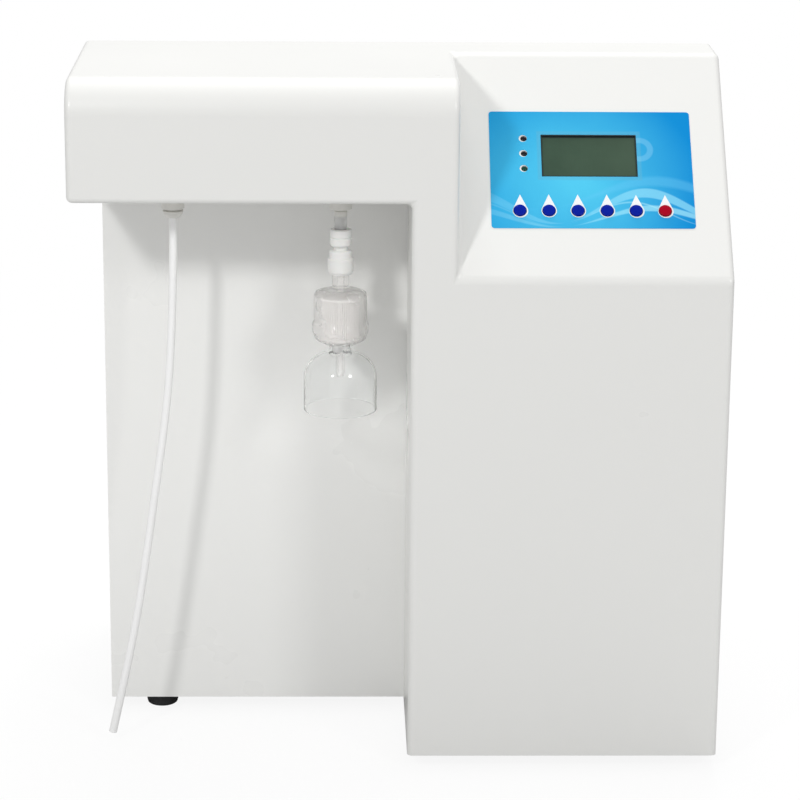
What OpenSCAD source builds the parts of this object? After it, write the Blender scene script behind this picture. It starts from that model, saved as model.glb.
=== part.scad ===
// Bench-top ultrapure water system: moulded front with an overhanging dispensing
// head, sheet-metal cabinet, sloped control panel, two outlets and the works inside.
// Case coordinates: x from the left side, y back from the front face, z up from the case floor.

/* [Case] */
// Width of the moulded front, side to side
case_w = 500; // [480:5:540]
// Depth from the front face to the back of the rear panel
case_d = 345; // [335:5:400]
// Height of the case without its feet
case_h = 532; // [526:2:580]
// Wall of the moulded front
shell_t = 3; // [2:0.5:4]
// Depth of the moulded front at the top
front_d = 193; // [180:1:215]
// Radius along the front top edge of the head
brow_r = 26; // [10:1:40]
// Radius of the upright front corners
corner_r = 5; // [2:0.5:9]
// How far the cabinet sides stand in from the moulded front
cover_inset = 17; // [10:1:20]
// How far the cabinet roof lies below the moulded top
cover_drop = 26; // [18:1:32]
// Sheet thickness of the cabinet cover
cover_t = 1.2; // [0.8:0.1:2]
// Sheet thickness of the rear panel
rear_t = 1.5; // [1:0.1:2.5]
// Sheet thickness of the floor tray
tray_t = 1.5; // [1:0.1:2.5]

/* [Head and column] */
// Width of the column on the right
column_w = 243; // [238:1:250]
// Height of the overhanging head
head_h = 91.5; // [86:0.5:100]
// Depth of the dispensing bay under the head
bay_d = 125; // [118:1:135]
// Thickness of the panel behind the bay
bay_panel_t = 2; // [1.5:0.5:3]
// Width of the upright strip between the bay and the sloped panel
strip_w = 35; // [28:1:38]
// Drop from the moulded top to the foot of the sloped panel
slope_drop = 148.5; // [142:0.5:156]
// Tilt of the sloped panel from level
slope_angle = 46.2; // [44:0.2:50]

/* [Control panel] */
// Width of the printed panel film
film_w = 155; // [145:1:165]
// Height of the printed panel film, measured up the slope
film_h = 105; // [98:1:112]
// Thickness of the film
film_t = 0.4; // [0.2:0.1:0.8]
// Corner radius of the film
film_r = 2.5; // [1:0.5:5]
// Gap between the strip and the film
film_gap = 26; // [22:1:34]
// Distance from the foot of the slope up to the film
film_up = 45.5; // [40:0.5:52]
// Width of the display window
window_w = 73.5; // [68:0.5:80]
// Height of the display window
window_h = 38; // [34:0.5:42]
// Window's left edge from the film's left edge
window_x = 39.5; // [36:0.5:44]
// Window's lower edge from the film's lower edge
window_up = 46; // [42:0.5:52]
// Thickness of the clear window lens
lens_t = 1.8; // [1:0.1:2.2]
// Diameter of a button cap
button_d = 9.6; // [8:0.1:11]
// Clearance round a button cap
button_gap = 0.4; // [0.3:0.05:0.6]
// How far a button cap stands proud of the film
button_proud = 1.6; // [1:0.1:3]
// Travel of a button
button_travel = 1; // [0.4:0.1:1]
// Distance between button centres
button_pitch = 22.1; // [20:0.1:24]
// First button's centre from the film's left edge
button_x = 21.9; // [16:0.1:26]
// Button centres from the film's lower edge
button_up = 15.5; // [13:0.1:18]
// Diameter of a status lamp
lamp_d = 5; // [3:0.1:5.2]
// Distance between status lamps
lamp_pitch = 13.6; // [11:0.1:15]
// Lamp centres from the film's left edge
lamp_x = 26.4; // [22:0.1:30]
// Top lamp's centre from the film's top edge
lamp_down = 24.5; // [20:0.1:28]

/* [Outlets] */
// Depth of both outlets behind the front face
outlet_d = 60; // [52:1:68]
// Tube outlet's centre from the left side
tube_outlet_x = 76; // [72:1:90]
// Filter outlet's centre from the side of the column
filter_gap = 53; // [47:1:67]
// Outer diameter of the dispensing tube
hose_d = 6.35; // [6:0.05:6.5]
// Outer diameter of the tube stub above the filter
stub_d = 9.5; // [8:0.1:10]
// Drop from the outlet's flange to the union nut
stub_l = 28.5; // [26:0.5:36]
// Diameter of the filter capsule
capsule_d = 41; // [36:0.5:46]
// Height of the filter capsule
capsule_h = 42.5; // [40:0.5:50]
// Outer diameter of the bell under the filter
bell_d = 56.6; // [50:0.5:62]
// Height of the bell below its collar
bell_h = 45; // [38:1:50]
// Wall of the bell
bell_t = 1.5; // [1:0.1:2]
// How far the bell pulls down off the filter
bell_travel = 30; // [10:1:40]

/* [Feet] */
// Diameter of a foot
foot_d = 26; // [20:1:30]
// Height of a foot
foot_h = 12; // [9:0.5:15]
// Feet centres from the case sides
foot_side = 57.5; // [50:0.5:75]
// Bay foot's centre behind the bay panel's face
foot_front = 21; // [18:1:28]
// Column foot's centre behind the front face
column_foot = 46; // [42:1:60]
// Rear feet centres from the rear panel
foot_rear = 40; // [30:1:50]

/* [Works] */
// Diameter of a cartridge's end caps
cartridge_d = 92; // [84:1:94]
// Height of a cartridge
cartridge_h = 330; // [300:5:335]
// Distance between the two cartridges
cartridge_pitch = 105; // [98:1:105]
// Diameter of the membrane housing
ro_d = 58; // [54:1:62]
// Length of the membrane housing
ro_l = 275; // [260:5:275]
// Diameter of the lamp reactor
uv_d = 63.5; // [58:0.5:66]
// Length of the lamp reactor
uv_l = 260; // [240:5:270]
// Diameter of a pump head
pump_head_d = 88; // [80:1:90]
// Length of a pump head
pump_head_l = 55; // [48:1:60]
// Diameter of a pump motor
pump_motor_d = 64; // [56:1:66]
// Length of a pump motor
pump_motor_l = 105; // [95:1:112]
// Diameter of a pump shaft
shaft_d = 5; // [4:0.5:8]
// Running clearance of a shaft in its bearing
shaft_gap = 0.05; // [0.02:0.01:0.1]

/* [Rear connections] */
// Inner diameter of a rear tube port
port_bore_d = 6.5; // [6.4:0.05:6.8]
// How far the ports stand out behind the rear panel
port_reach = 15; // [14:0.5:18]
// Distance between the rear ports
port_pitch = 50; // [44:1:54]
// Height of the rear ports
port_z = 160; // [154:1:164]
// Width of the power inlet's plate
inlet_w = 30; // [30:1:36]
// Height of the power inlet's plate
inlet_h = 70; // [70:1:80]
// Swing of the power rocker
rocker_swing = 18; // [10:1:20]

/* [Hidden] */
$fn = 64;
eps = 0.01;
seat_gap = 0.3; // air between parts that sit next to each other
touch_gap = 0.05; // air behind the tilted panel wall

// Colours
white = [0.95, 0.95, 0.94];
steel = [0.70, 0.71, 0.73];
black = [0.10, 0.10, 0.11];
clear = [0.86, 0.90, 0.92, 0.5];
film_blue = [0.10, 0.58, 0.86];
cap_blue = [0.07, 0.18, 0.66];
cap_red = [0.74, 0.03, 0.16];
board_green = [0.07, 0.36, 0.18];
cream = [0.90, 0.89, 0.84];

// Case
column_x = case_w - column_w;
strip_x = column_x + strip_w;
head_z = case_h - head_h;
slope_base = case_h - slope_drop;
roof_z = case_h - cover_drop;
slope_d = (case_h - slope_base) / tan(slope_angle);
cover_x = cover_inset;
cover_x2 = case_w - cover_inset;
cover_y = bay_d + bay_panel_t;
rear_y = case_d - rear_t;
flange_w = 12; // folded edges of the sheet parts
louvre_w = 90;
louvre_h = 4;
louvre_pitch = 10;
louvre_rows = 8;

// Control panel
film_x = strip_x + film_gap;
wall_back = -shell_t;
flange_t = 1.2; // retaining flange under a cap
cap_flange_d = button_d + 3;
bezel_w = window_w + 5;
bezel_h = window_h + 14;
bezel_t = 8;
module_w = window_w + 17;
module_h = window_h + 20;
board_t = 1.6;
switch_h = 4.3;
switch_w = 11;
plunger_d = 3.4;
plunger_reach = 2.6; // stem of a cap inside its switch
board_top = wall_back - 14;
board_w = film_w - 12;
board_h = film_h - 14;
board_x = film_x + (film_w - board_w) / 2;
board_y = film_up + 5;
boss_d = 7;
boss_inset = 5;
switch_gap = button_travel + 0.3;
lamp_hole_d = lamp_d + 0.8;
lamp_ring_d = lamp_hole_d + 2; // opening in the film round a lamp
lamp_ring_shift = 1; // that opening sits a little to the left

// Outlets
filter_outlet_x = column_x - filter_gap;
outlet_flange_d = 19;
outlet_flange_t = 3;
outlet_body_d = 17.6;
outlet_body_h = 12.7;
outlet_slot = 1.5; // groove between an outlet's body and its tip
outlet_low = head_z - outlet_flange_t - outlet_body_h;
tip_top = outlet_low - outlet_slot;
outlet_thread_d = 12;
outlet_bore_d = 4;
thread_gap = 0.15;
spigot_z = head_z + shell_t + 16;
nut_t = 5;
nut_d = 20;
taper_h = 5.3; // tapered collar under the tube outlet
taper_d = 10.6;
taper_top_d = 16.4;
ferrule_h = 4.2; // collar that holds the filter's stub
ferrule_d = 10;
valve_w = 30;
valve_h = 22;
coil_h = 30;
coil_d = 30;
port_l = 12; // length of an inner tube spigot
port_d = 12;
union_z = head_z - outlet_flange_t - stub_l; // top of the union nut
union_h = 13;
union_d = 16.8;
neck_d = 11;
neck_h = 4;
adapter_h = 18;
adapter_d = 20;
nipple_h = 12.5;
nipple_d = 13;
capsule_top = union_z - union_h - neck_h - adapter_h - nipple_h;
capsule_low = capsule_top - capsule_h;
spout_d = 12; // the capsule's lower boss, which carries the bell
spout_h = 9;
nozzle_d = 7;
nozzle_h = 18;
collar_d = spout_d + 5;
collar_h = 7;
bell_top = capsule_low - 1 - collar_h;
bell_dome_h = 19;
wrap_h = 17; // rounded ring low on the capsule

// Works
plate_y = case_d - 49;
plate_t = 2;
plate_x = 30;
plate_x2 = case_w - 30;
plate_h = 470;
cartridge_x = 80;
cartridge_y = plate_y - 2 - cartridge_d / 2;
cartridge_edge = cartridge_x + cartridge_pitch + cartridge_d / 2; // right side of the pair
barrel_d = cartridge_d - 8;
cap_h = 30;
port_off = 22; // cartridge ports from the cartridge's axis
clip_h = 18;
clip_t = 3;
clip_pad = 30;
ro_z = case_h - 104;
ro_y = plate_y - 6 - ro_d / 2;
ro_wall = 3.5;
ro_cap_l = 34;
ro_cap_d = ro_d + 9;
ro_port_off = 12;
uv_x = case_w - 75;
uv_z = 175;
uv_y = plate_y - 6 - uv_d / 2;
uv_wall = 2;
uv_cap_h = 14;
uv_cap_d = uv_d + 6;
uv_low_port = uv_z + 20;
uv_high_port = uv_z + 210;
ballast_x = case_w - 62;
supply_gap = 8; // air beside the power supply
supply_x = cartridge_edge + 12;
supply_z = 200;
supply = [min(98, uv_x - uv_d / 2 - port_l - supply_gap - supply_x), 42, ro_z - ro_d / 2 - 49 - supply_z];
ro_clear = 5; // air between the membrane housing and the lamp reactor's cap
ro_x = min(70, uv_x - uv_cap_d / 2 - ro_clear - ro_l);
pump_x = [case_w - 170, case_w - 65]; // booster pump, delivery pump
pump_y = 30;
grommet_h = 10.5;
grommet_d = 16;
bracket_t = 3;
pump_z = tray_t + grommet_h + bracket_t + pump_head_d / 2;
motor_y = pump_y + pump_head_l;
motor_wall = 5;
rotor_d = pump_motor_d - 20;
cam_d = 28;
cam_off = 2;
cam_room_d = 40;
pump_port_off = 18;
pump_port_y = pump_y + pump_head_l / 2;
valve_block = [40, 24, 22];
valve_apart = valve_block[0] + 2 * port_l + 8; // least distance between the valves
feed_valve_x = cartridge_edge + 44;
valve_x = [feed_valve_x, max(case_w - 115, feed_valve_x + valve_apart)]; // feed valve, flush valve
valve_z = 70;
small_coil_h = 34;

// Rear
port_x = [for (i = [0 : 2]) cartridge_edge + 19 + i * port_pitch]; // feed, tank, drain
port_body_d = 19;
port_neck_d = 15;
port_flange_t = 3;
port_tail = 20;
tail_d = 14;
tube_hole_d = 12;
inlet_x = 75;
inlet_z = 50;
inlet_lip = 3;
inlet_depth = 28;
socket = [24, 16, 18]; // width, height and depth of the plug socket
rocker_w = 13;
rocker_h = 19;
rocker_gap = 0.5;

// Inner tubes
tube_r = 3.2;
wire_r = 3.5;
hose_sides = 12;
tube_sides = 8;

// Route of the dispensing tube: down from its fitting, then drooping to the left.
// Each point is its shift from the outlet's axis and its height; the heights follow the outlet's own.
hose_top = [tube_outlet_x, outlet_d, tip_top - taper_h];
hose_end = -4;
hose_drop = hose_top[2] - hose_end;
hose_shape = [[0, 418], [0, 400], [-0.5, 380], [-1.2, 358], [-2.1, 335], [-3.4, 310], [-5.3, 285],
  [-8, 260], [-11.3, 235], [-15, 210], [-18.7, 185], [-22.3, 160], [-26, 135], [-30, 110],
  [-34.5, 85], [-39.5, 60], [-44.9, 35], [-50, 12], [-53.6, -4]];
hose_points = [for (p = hose_shape)
  [tube_outlet_x + p[0], outlet_d, hose_end + (p[1] + 4) * hose_drop / 422]];

// Ports that the inner tubes run between
valve_out = [for (x = [tube_outlet_x, filter_outlet_x])
  [x, outlet_d + valve_w / 2 + port_l, spigot_z + valve_h / 2]];
cartridge_top = tray_t + cartridge_h + port_l;
pre_in = [cartridge_x - port_off, cartridge_y, cartridge_top];
pre_out = [cartridge_x + port_off, cartridge_y, cartridge_top];
pol_in = pre_in + [cartridge_pitch, 0, 0];
pol_out = pre_out + [cartridge_pitch, 0, 0];
ro_in = [ro_x - port_l, ro_y, ro_z];
ro_product = [ro_x + ro_l + port_l, ro_y, ro_z + ro_port_off];
ro_reject = [ro_x + ro_l + port_l, ro_y, ro_z - ro_port_off];
uv_side = uv_x - uv_d / 2 - port_l;
uv_in = [uv_side, uv_y, uv_low_port];
uv_out = [uv_side, uv_y, uv_high_port];
pump_top = pump_z + pump_head_d / 2 + port_l;
function pump_port(i, side) = [pump_x[i] + side * pump_port_off, pump_port_y, pump_top];
function line_valve_port(i, side) = [valve_x[i] + side * (valve_block[0] / 2 + port_l),
  plate_y - valve_block[1] / 2, valve_z + valve_block[2] / 2];
function rear_port(i) = [port_x[i], rear_y - port_tail, port_z];

// Smooth curve through hand-set points, and the frames that sweep a ring along it
function unit(v) = v / norm(v);
function blend_point(a, b, c, d, t) =
  0.5 * (2 * b + (c - a) * t + (2 * a - 5 * b + 4 * c - d) * t * t + (3 * b - a - 3 * c + d) * t * t * t);
function curve(p, steps) = let (n = len(p), q = concat([2 * p[0] - p[1]], p, [2 * p[n - 1] - p[n - 2]]))
  concat([for (i = [1 : n - 1], k = [0 : steps - 1])
    blend_point(q[i - 1], q[i], q[i + 1], q[i + 2], k / steps)], [p[n - 1]]);
function heading(p, i) = let (n = len(p))
  i == 0 ? unit(p[1] - p[0]) : i == n - 1 ? unit(p[n - 1] - p[n - 2]) : unit(p[i + 1] - p[i - 1]);
function flatten_to(v, along) = unit(v - (v * along) * along);
function side_vector(along) = flatten_to(abs(along[2]) > 0.8 ? [1, 0, 0] : [0, 0, 1], along);
function sides(t, i, done) = i == len(t) ? done
  : sides(t, i + 1, concat(done, [flatten_to(done[i - 1], t[i])]));
function ring(centre, along, side, r, n) = let (up = cross(along, side))
  [for (k = [0 : n - 1]) centre + r * (cos(360 * k / n) * side + sin(360 * k / n) * up)];

// Each end ring stands square to the way given for it.
module sweep(points, r, n, ways) {
  t = concat([ways[0]], [for (i = [1 : len(points) - 2]) heading(points, i)], [ways[1]]);
  s = sides(t, 1, [side_vector(t[0])]);
  m = len(points);
  polyhedron(
    points = [for (i = [0 : m - 1]) each ring(points[i], t[i], s[i], r, n)],
    faces = concat(
      [[for (k = [0 : n - 1]) k]],
      [for (i = [0 : m - 2], k = [0 : n - 1]) let (a = i * n + k, b = i * n + (k + 1) % n)
        [a + n, b + n, b, a]],
      [[for (k = [n - 1 : -1 : 0]) (m - 1) * n + k]]),
    convexity = 10);
}

// Placing helpers
module in_case() {
  translate([-case_w / 2, -(case_d + port_reach) / 2, foot_h]) children();
}
module along_x(x0, x1) {
  translate([x0, 0, 0]) rotate([90, 0, 90]) linear_extrude(x1 - x0) children();
}
module rod_x(x0, x1, y, z, r) {
  translate([x0, y, z]) rotate([0, 90, 0]) cylinder(h = x1 - x0, r = r);
}
module rod_y(x, y0, y1, z, r) {
  translate([x, y0, z]) rotate([-90, 0, 0]) cylinder(h = y1 - y0, r = r);
}
module rod_z(x, y, z0, z1, r) {
  translate([x, y, z0]) cylinder(h = z1 - z0, r = r);
}
module block(low, high) {
  translate(low) cube(high - low);
}
// Local frame of the sloped panel: x to the right, y up the slope, z out of the surface.
module on_slope() {
  translate([0, 0, slope_base]) rotate([slope_angle, 0, 0]) children();
}

// Side view of the moulded front, drawn with depth across and height up
module head_side(inset) {
  r = brow_r - inset;
  top = case_h - inset;
  back = front_d - inset;
  translate([inset + r, head_z + inset]) square([back - inset - r, top - head_z - inset]);
  translate([inset, head_z + inset]) square([r + eps, top - r - head_z - inset]);
  translate([inset + r, top - r]) circle(r);
}
module strip_side(inset) {
  head_side(inset);
  translate([inset, -eps]) square([front_d - 2 * inset, head_z + 2 * inset]);
}
module slope_side(inset) {
  lift = inset / cos(slope_angle);
  low = slope_base + inset * tan(slope_angle) - lift;
  top = case_h - inset;
  polygon([[inset, -eps], [inset, low], [(top - slope_base + lift) / tan(slope_angle), top],
    [front_d - inset, top], [front_d - inset, -eps]]);
}
module front_plan() {
  translate([corner_r, corner_r]) circle(corner_r);
  translate([case_w - corner_r, corner_r]) circle(corner_r);
  translate([corner_r, 0]) square([case_w - 2 * corner_r, front_d]);
  translate([0, corner_r]) square([case_w, front_d - corner_r]);
}
module front_hollow() {
  along_x(shell_t, strip_x - shell_t) head_side(shell_t);
  along_x(column_x + shell_t, strip_x - shell_t) strip_side(shell_t);
  along_x(column_x + shell_t, case_w - shell_t) slope_side(shell_t);
}
module button_spots() {
  for (i = [0 : 5]) translate([film_x + button_x + i * button_pitch, film_up + button_up, 0]) children();
}
module lamp_spots() {
  for (i = [0 : 2])
    translate([film_x + lamp_x, film_up + film_h - lamp_down - i * lamp_pitch, 0]) children();
}
module board_corners() {
  for (x = [board_x + boss_inset, board_x + board_w - boss_inset])
    for (y = [board_y + boss_inset, board_y + board_h - boss_inset]) translate([x, y, 0]) children();
}
module window_area(spread, depth, thick) {
  translate([film_x + window_x - spread, film_up + window_up - spread, depth])
    cube([window_w + 2 * spread, window_h + 2 * spread, thick]);
}
column_boss_r = 5;
column_bosses = [for (x = [column_x + shell_t + column_boss_r - 1, case_w - shell_t - column_boss_r + 1])
  [x, shell_t + column_boss_r - 1]];

module fascia() {
  color(white) in_case() {
    difference() {
      intersection() {
        union() {
          along_x(0, strip_x) head_side(0);
          along_x(column_x, strip_x) strip_side(0);
          along_x(column_x, case_w) slope_side(0);
        }
        linear_extrude(case_h + 1) front_plan();
      }
      translate([0, 0, -eps]) front_hollow();
      block([cover_x - seat_gap, bay_d, -1],
        [column_x + shell_t + eps, front_d + 1, head_z + shell_t + eps]);
      block([cover_x - seat_gap, front_d - shell_t - 1, -1],
        [cover_x2 + seat_gap, front_d + 1, roof_z + seat_gap]);
      for (x = [tube_outlet_x, filter_outlet_x])
        rod_z(x, outlet_d, head_z - 1, head_z + shell_t + 1, outlet_thread_d / 2 + thread_gap);
      on_slope() {
        window_area(0, -shell_t - 1, shell_t + 2);
        button_spots() translate([0, 0, -shell_t - 1])
          cylinder(h = shell_t + 2, r = button_d / 2 + button_gap);
        lamp_spots() translate([0, 0, -shell_t - 1]) cylinder(h = shell_t + 2, d = lamp_hole_d);
      }
    }
    on_slope() board_corners() difference() {
      translate([0, 0, board_top]) cylinder(h = -board_top - shell_t / 2, d = boss_d);
      translate([0, 0, board_top - 1]) cylinder(h = 9, r = 1.2);
    }
    for (p = column_bosses) difference() {
      rod_z(p[0], p[1], tray_t, tray_t + 20, column_boss_r);
      rod_z(p[0], p[1], tray_t - 1, tray_t + 14, screw_r);
    }
  }
}

module bay_panel() {
  color(white) in_case() {
    block([cover_x, bay_d, 0], [column_x + shell_t, bay_d + bay_panel_t, head_z + shell_t]);
    block([column_x + shell_t - 1, bay_d, tray_t + 2],
      [column_x + shell_t + flange_w, bay_d + bay_panel_t, head_z + shell_t]);
    block([cover_x + cover_t + seat_gap, bay_d, head_z + shell_t - 1],
      [column_x + shell_t, bay_d + bay_panel_t, head_z + shell_t + flange_w]);
    block([cover_x + cover_t + seat_gap, cover_y - 1, tray_t + 2],
      [cover_x + cover_t + seat_gap + bay_panel_t, cover_y + flange_w, head_z]);
  }
}

module cabinet_cover() {
  color(white) in_case() difference() {
    union() {
      block([cover_x, cover_y, 0], [cover_x + cover_t, rear_y, roof_z]);
      block([cover_x2 - cover_t, cover_y, 0], [cover_x2, rear_y, roof_z]);
      block([cover_x, cover_y, roof_z - cover_t], [cover_x2, rear_y, roof_z]);
      for (x = [cover_x, cover_x2 - flange_w])
        block([x, rear_y - cover_t, 0], [x + flange_w, rear_y, roof_z]);
      block([cover_x, rear_y - cover_t, roof_z - flange_w], [cover_x2, rear_y, roof_z]);
    }
    rear_screw_spots() rod_y(0, rear_y - 5, rear_y + 1, 0, screw_r + 0.2);
    side_screw_spots() rod_x(-5, 5, 0, 0, screw_r + 0.2);
  }
}

screw_r = 1.5;
screw_head_r = 3.5;
screw_head_h = 2.2;
side_screw_y = [front_d + 30, rear_y - 35];
side_screw_z = 10;
module rear_screw_spots() {
  for (x = [cover_x + flange_w / 2, cover_x2 - flange_w / 2], z = [30, roof_z / 2, roof_z - 40])
    translate([x, 0, z]) children();
  for (x = [case_w / 2 - 80, case_w / 2 + 80]) translate([x, 0, roof_z - flange_w / 2]) children();
}
module side_screw_spots() {
  for (x = [cover_x, cover_x2], y = side_screw_y) translate([x, y, side_screw_z]) children();
}

module rear_panel() {
  color(white) in_case() difference() {
    block([cover_x, rear_y, 0], [cover_x2, case_d, roof_z]);
    rear_screw_spots() rod_y(0, rear_y - 1, case_d + 1, 0, screw_r + 0.2);
    for (side = [0, 1], i = [0 : louvre_rows - 1])
      translate([case_w / 2 - 130 + side * (260 - louvre_w), rear_y - 1, roof_z - 150 + i * louvre_pitch])
        cube([louvre_w, rear_t + 2, louvre_h]);
    for (x = port_x) rod_y(x, rear_y - 1, case_d + 1, port_z, port_neck_d / 2 + thread_gap);
    block([inlet_x + 2 - seat_gap, rear_y - 1, inlet_z + 2 - seat_gap],
      [inlet_x + inlet_w - 2 + seat_gap, case_d + 1, inlet_z + inlet_h - 2 + seat_gap]);
  }
}

feet = [[foot_side, bay_d + foot_front], [case_w - foot_side, column_foot],
  [foot_side, case_d - foot_rear], [case_w - foot_side, case_d - foot_rear]];
foot_screw_r = 2.4;
module floor_tray() {
  left = cover_x + cover_t + seat_gap;
  right = cover_x2 - cover_t - seat_gap;
  color(steel) in_case() difference() {
    union() {
      block([left, cover_y, 0], [right, rear_y - cover_t - seat_gap, tray_t]);
      block([column_x + shell_t + seat_gap, shell_t + seat_gap, 0],
        [case_w - shell_t - seat_gap, cover_y + eps, tray_t]);
      block([cover_x2 + seat_gap, cover_y, 0],
        [case_w - shell_t - seat_gap, front_d - shell_t - seat_gap, tray_t]);
      for (x = [left, right - tray_t]) block([x, front_d + 10, 0], [x + tray_t, rear_y - 20, 18]);
    }
    for (p = feet) rod_z(p[0], p[1], -1, tray_t + 1, foot_screw_r + 0.2);
    for (p = column_bosses) rod_z(p[0], p[1], -1, tray_t + 1, screw_r + 0.2);
    side_screw_spots() rod_x(-5, 5, 0, 0, screw_r + 0.2);
  }
}

module rubber_feet() {
  color(black) in_case() for (p = feet) translate([p[0], p[1], -foot_h]) difference() {
    union() {
      cylinder(h = 3, d1 = foot_d - 3, d2 = foot_d);
      translate([0, 0, 3]) cylinder(h = foot_h - 3, d = foot_d);
    }
    translate([0, 0, -1]) cylinder(h = foot_h - 3, r = 5);
    cylinder(h = foot_h + 1, r = foot_screw_r + 0.2);
  }
}
module foot_screws() {
  color(steel) in_case() for (p = feet) {
    rod_z(p[0], p[1], -7, -4, 4.5);
    rod_z(p[0], p[1], -4 - eps, tray_t + 7, foot_screw_r);
    translate([p[0], p[1], tray_t]) difference() {
      cylinder(h = 4, d = 9.5, $fn = 6);
      translate([0, 0, -1]) cylinder(h = 6, r = foot_screw_r - 0.1);
    }
  }
}
module case_screws() {
  color(steel) in_case() {
    rear_screw_spots() {
      rod_y(0, case_d, case_d + screw_head_h, 0, screw_head_r);
      rod_y(0, rear_y - 7, case_d + eps, 0, screw_r);
    }
    for (y = side_screw_y) {
      rod_x(cover_x - screw_head_h, cover_x, y, side_screw_z, screw_head_r);
      rod_x(cover_x - eps, cover_x + 7, y, side_screw_z, screw_r);
      rod_x(cover_x2, cover_x2 + screw_head_h, y, side_screw_z, screw_head_r);
      rod_x(cover_x2 - 7, cover_x2 + eps, y, side_screw_z, screw_r);
    }
    for (p = column_bosses) {
      rod_z(p[0], p[1], -screw_head_h, 0, screw_head_r);
      rod_z(p[0], p[1], -eps, tray_t + 8, screw_r - 0.1);
    }
  }
}

module mounting_plate() {
  color(steel) in_case() difference() {
    union() {
      block([plate_x, plate_y, tray_t], [plate_x2, plate_y + plate_t, plate_h]);
      block([plate_x, plate_y, tray_t], [plate_x2, plate_y + 20, tray_t + plate_t]);
      block([plate_x, plate_y, plate_h - plate_t], [plate_x2, plate_y + 20, plate_h]);
    }
    for (x = port_x) rod_y(x, plate_y - 1, plate_y + plate_t + 1, port_z, tube_hole_d / 2);
    rod_y(supply_x + supply[0] / 2, plate_y - 1, plate_y + plate_t + 1,
      supply_z + supply[2] + 22, tube_hole_d / 2);
    for (p = feet) rod_z(p[0], p[1], 0, 12, 7);
  }
}

// Control panel
module panel_film() {
  color(film_blue) in_case() on_slope() difference() {
    translate([film_x, film_up, 0]) linear_extrude(film_t) {
      translate([film_r, 0]) square([film_w - 2 * film_r, film_h]);
      translate([0, film_r]) square([film_w, film_h - 2 * film_r]);
      for (x = [film_r, film_w - film_r], y = [film_r, film_h - film_r]) translate([x, y]) circle(film_r);
    }
    window_area(0, -1, 3);
    button_spots() translate([0, 0, -1]) cylinder(h = 3, r = button_d / 2 + button_gap);
    lamp_spots() translate([-lamp_ring_shift, 0, -1]) cylinder(h = 3, d = lamp_ring_d);
  }
}
module display_lens() {
  color(clear) in_case() on_slope() window_area(-seat_gap, -shell_t, lens_t);
}
module display_module() {
  spread_x = (bezel_w - window_w) / 2;
  spread_y = (bezel_h - window_h) / 2;
  color(black) in_case() on_slope()
  translate([film_x + window_x, film_up + window_up, -shell_t - touch_gap]) {
    translate([-spread_x, -spread_y, -bezel_t]) cube([bezel_w, bezel_h, bezel_t]);
    translate([-(module_w - window_w) / 2, -(module_h - window_h) / 2, -bezel_t - board_t])
      cube([module_w, module_h, board_t + eps]);
  }
}
module control_board() {
  chip = 14;
  spacer = -shell_t - 2 * touch_gap - bezel_t - board_t - board_top;
  mid_x = film_x + window_x + window_w / 2;
  mid_y = film_up + window_up + window_h / 2;
  color(board_green) in_case() on_slope() difference() {
    union() {
      translate([board_x, board_y, board_top - board_t]) cube([board_w, board_h, board_t]);
      translate([mid_x - chip, mid_y - chip / 2, board_top - board_t - 2]) cube([2 * chip, chip, 2 + eps]);
      for (x = [-1, 1], y = [-1, 1])
        translate([mid_x + x * (module_w / 2 - 4), mid_y + y * (module_h / 2 - 4), board_top - eps])
          cylinder(h = spacer, r = 2.5);
    }
    board_corners() translate([0, 0, board_top - board_t - 1]) cylinder(h = board_t + 2, r = screw_r + 0.1);
  }
}
module board_screws() {
  color(steel) in_case() on_slope() board_corners() {
    translate([0, 0, board_top - board_t - 2]) cylinder(h = 2, r = 2.8);
    translate([0, 0, board_top - board_t - eps]) cylinder(h = board_t + 6, r = 1.2);
  }
}
module key_switches() {
  color(black) in_case() on_slope() button_spots() difference() {
    translate([-switch_w / 2, -switch_w / 2, board_top]) cube([switch_w, switch_w, switch_h]);
    translate([0, 0, board_top + 0.4]) cylinder(h = switch_h, d = plunger_d + 0.8);
  }
}
module status_lamps() {
  color(black) in_case() on_slope() lamp_spots() {
    translate([0, 0, board_top]) cylinder(h = -board_top - 0.6 - lamp_d / 2, d = lamp_d);
    translate([0, 0, -0.6 - lamp_d / 2]) sphere(d = lamp_d);
  }
}
module button(i) {
  stem_low = board_top + switch_h + switch_gap;
  in_case() on_slope() translate([film_x + button_x + i * button_pitch, film_up + button_up, 0]) {
    translate([0, 0, -shell_t - seat_gap - flange_t]) cylinder(h = flange_t, d = cap_flange_d);
    translate([0, 0, -shell_t - seat_gap - eps])
      cylinder(h = shell_t + seat_gap + film_t + button_proud - 0.6, d = button_d);
    translate([0, 0, film_t + button_proud - 0.6 - eps])
      cylinder(h = 0.6, d1 = button_d, d2 = button_d - 1.2);
    translate([0, 0, stem_low]) cylinder(h = -stem_low - shell_t - seat_gap, d = 6);
    translate([0, 0, stem_low - switch_gap - plunger_reach + button_travel])
      cylinder(h = switch_gap + plunger_reach - button_travel + eps, d = plunger_d);
  }
}
module button_1() { color(cap_blue) button(0); }
module button_2() { color(cap_blue) button(1); }
module button_3() { color(cap_blue) button(2); }
module button_4() { color(cap_blue) button(3); }
module button_5() { color(cap_blue) button(4); }
module button_6() { color(cap_red) button(5); }

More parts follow.
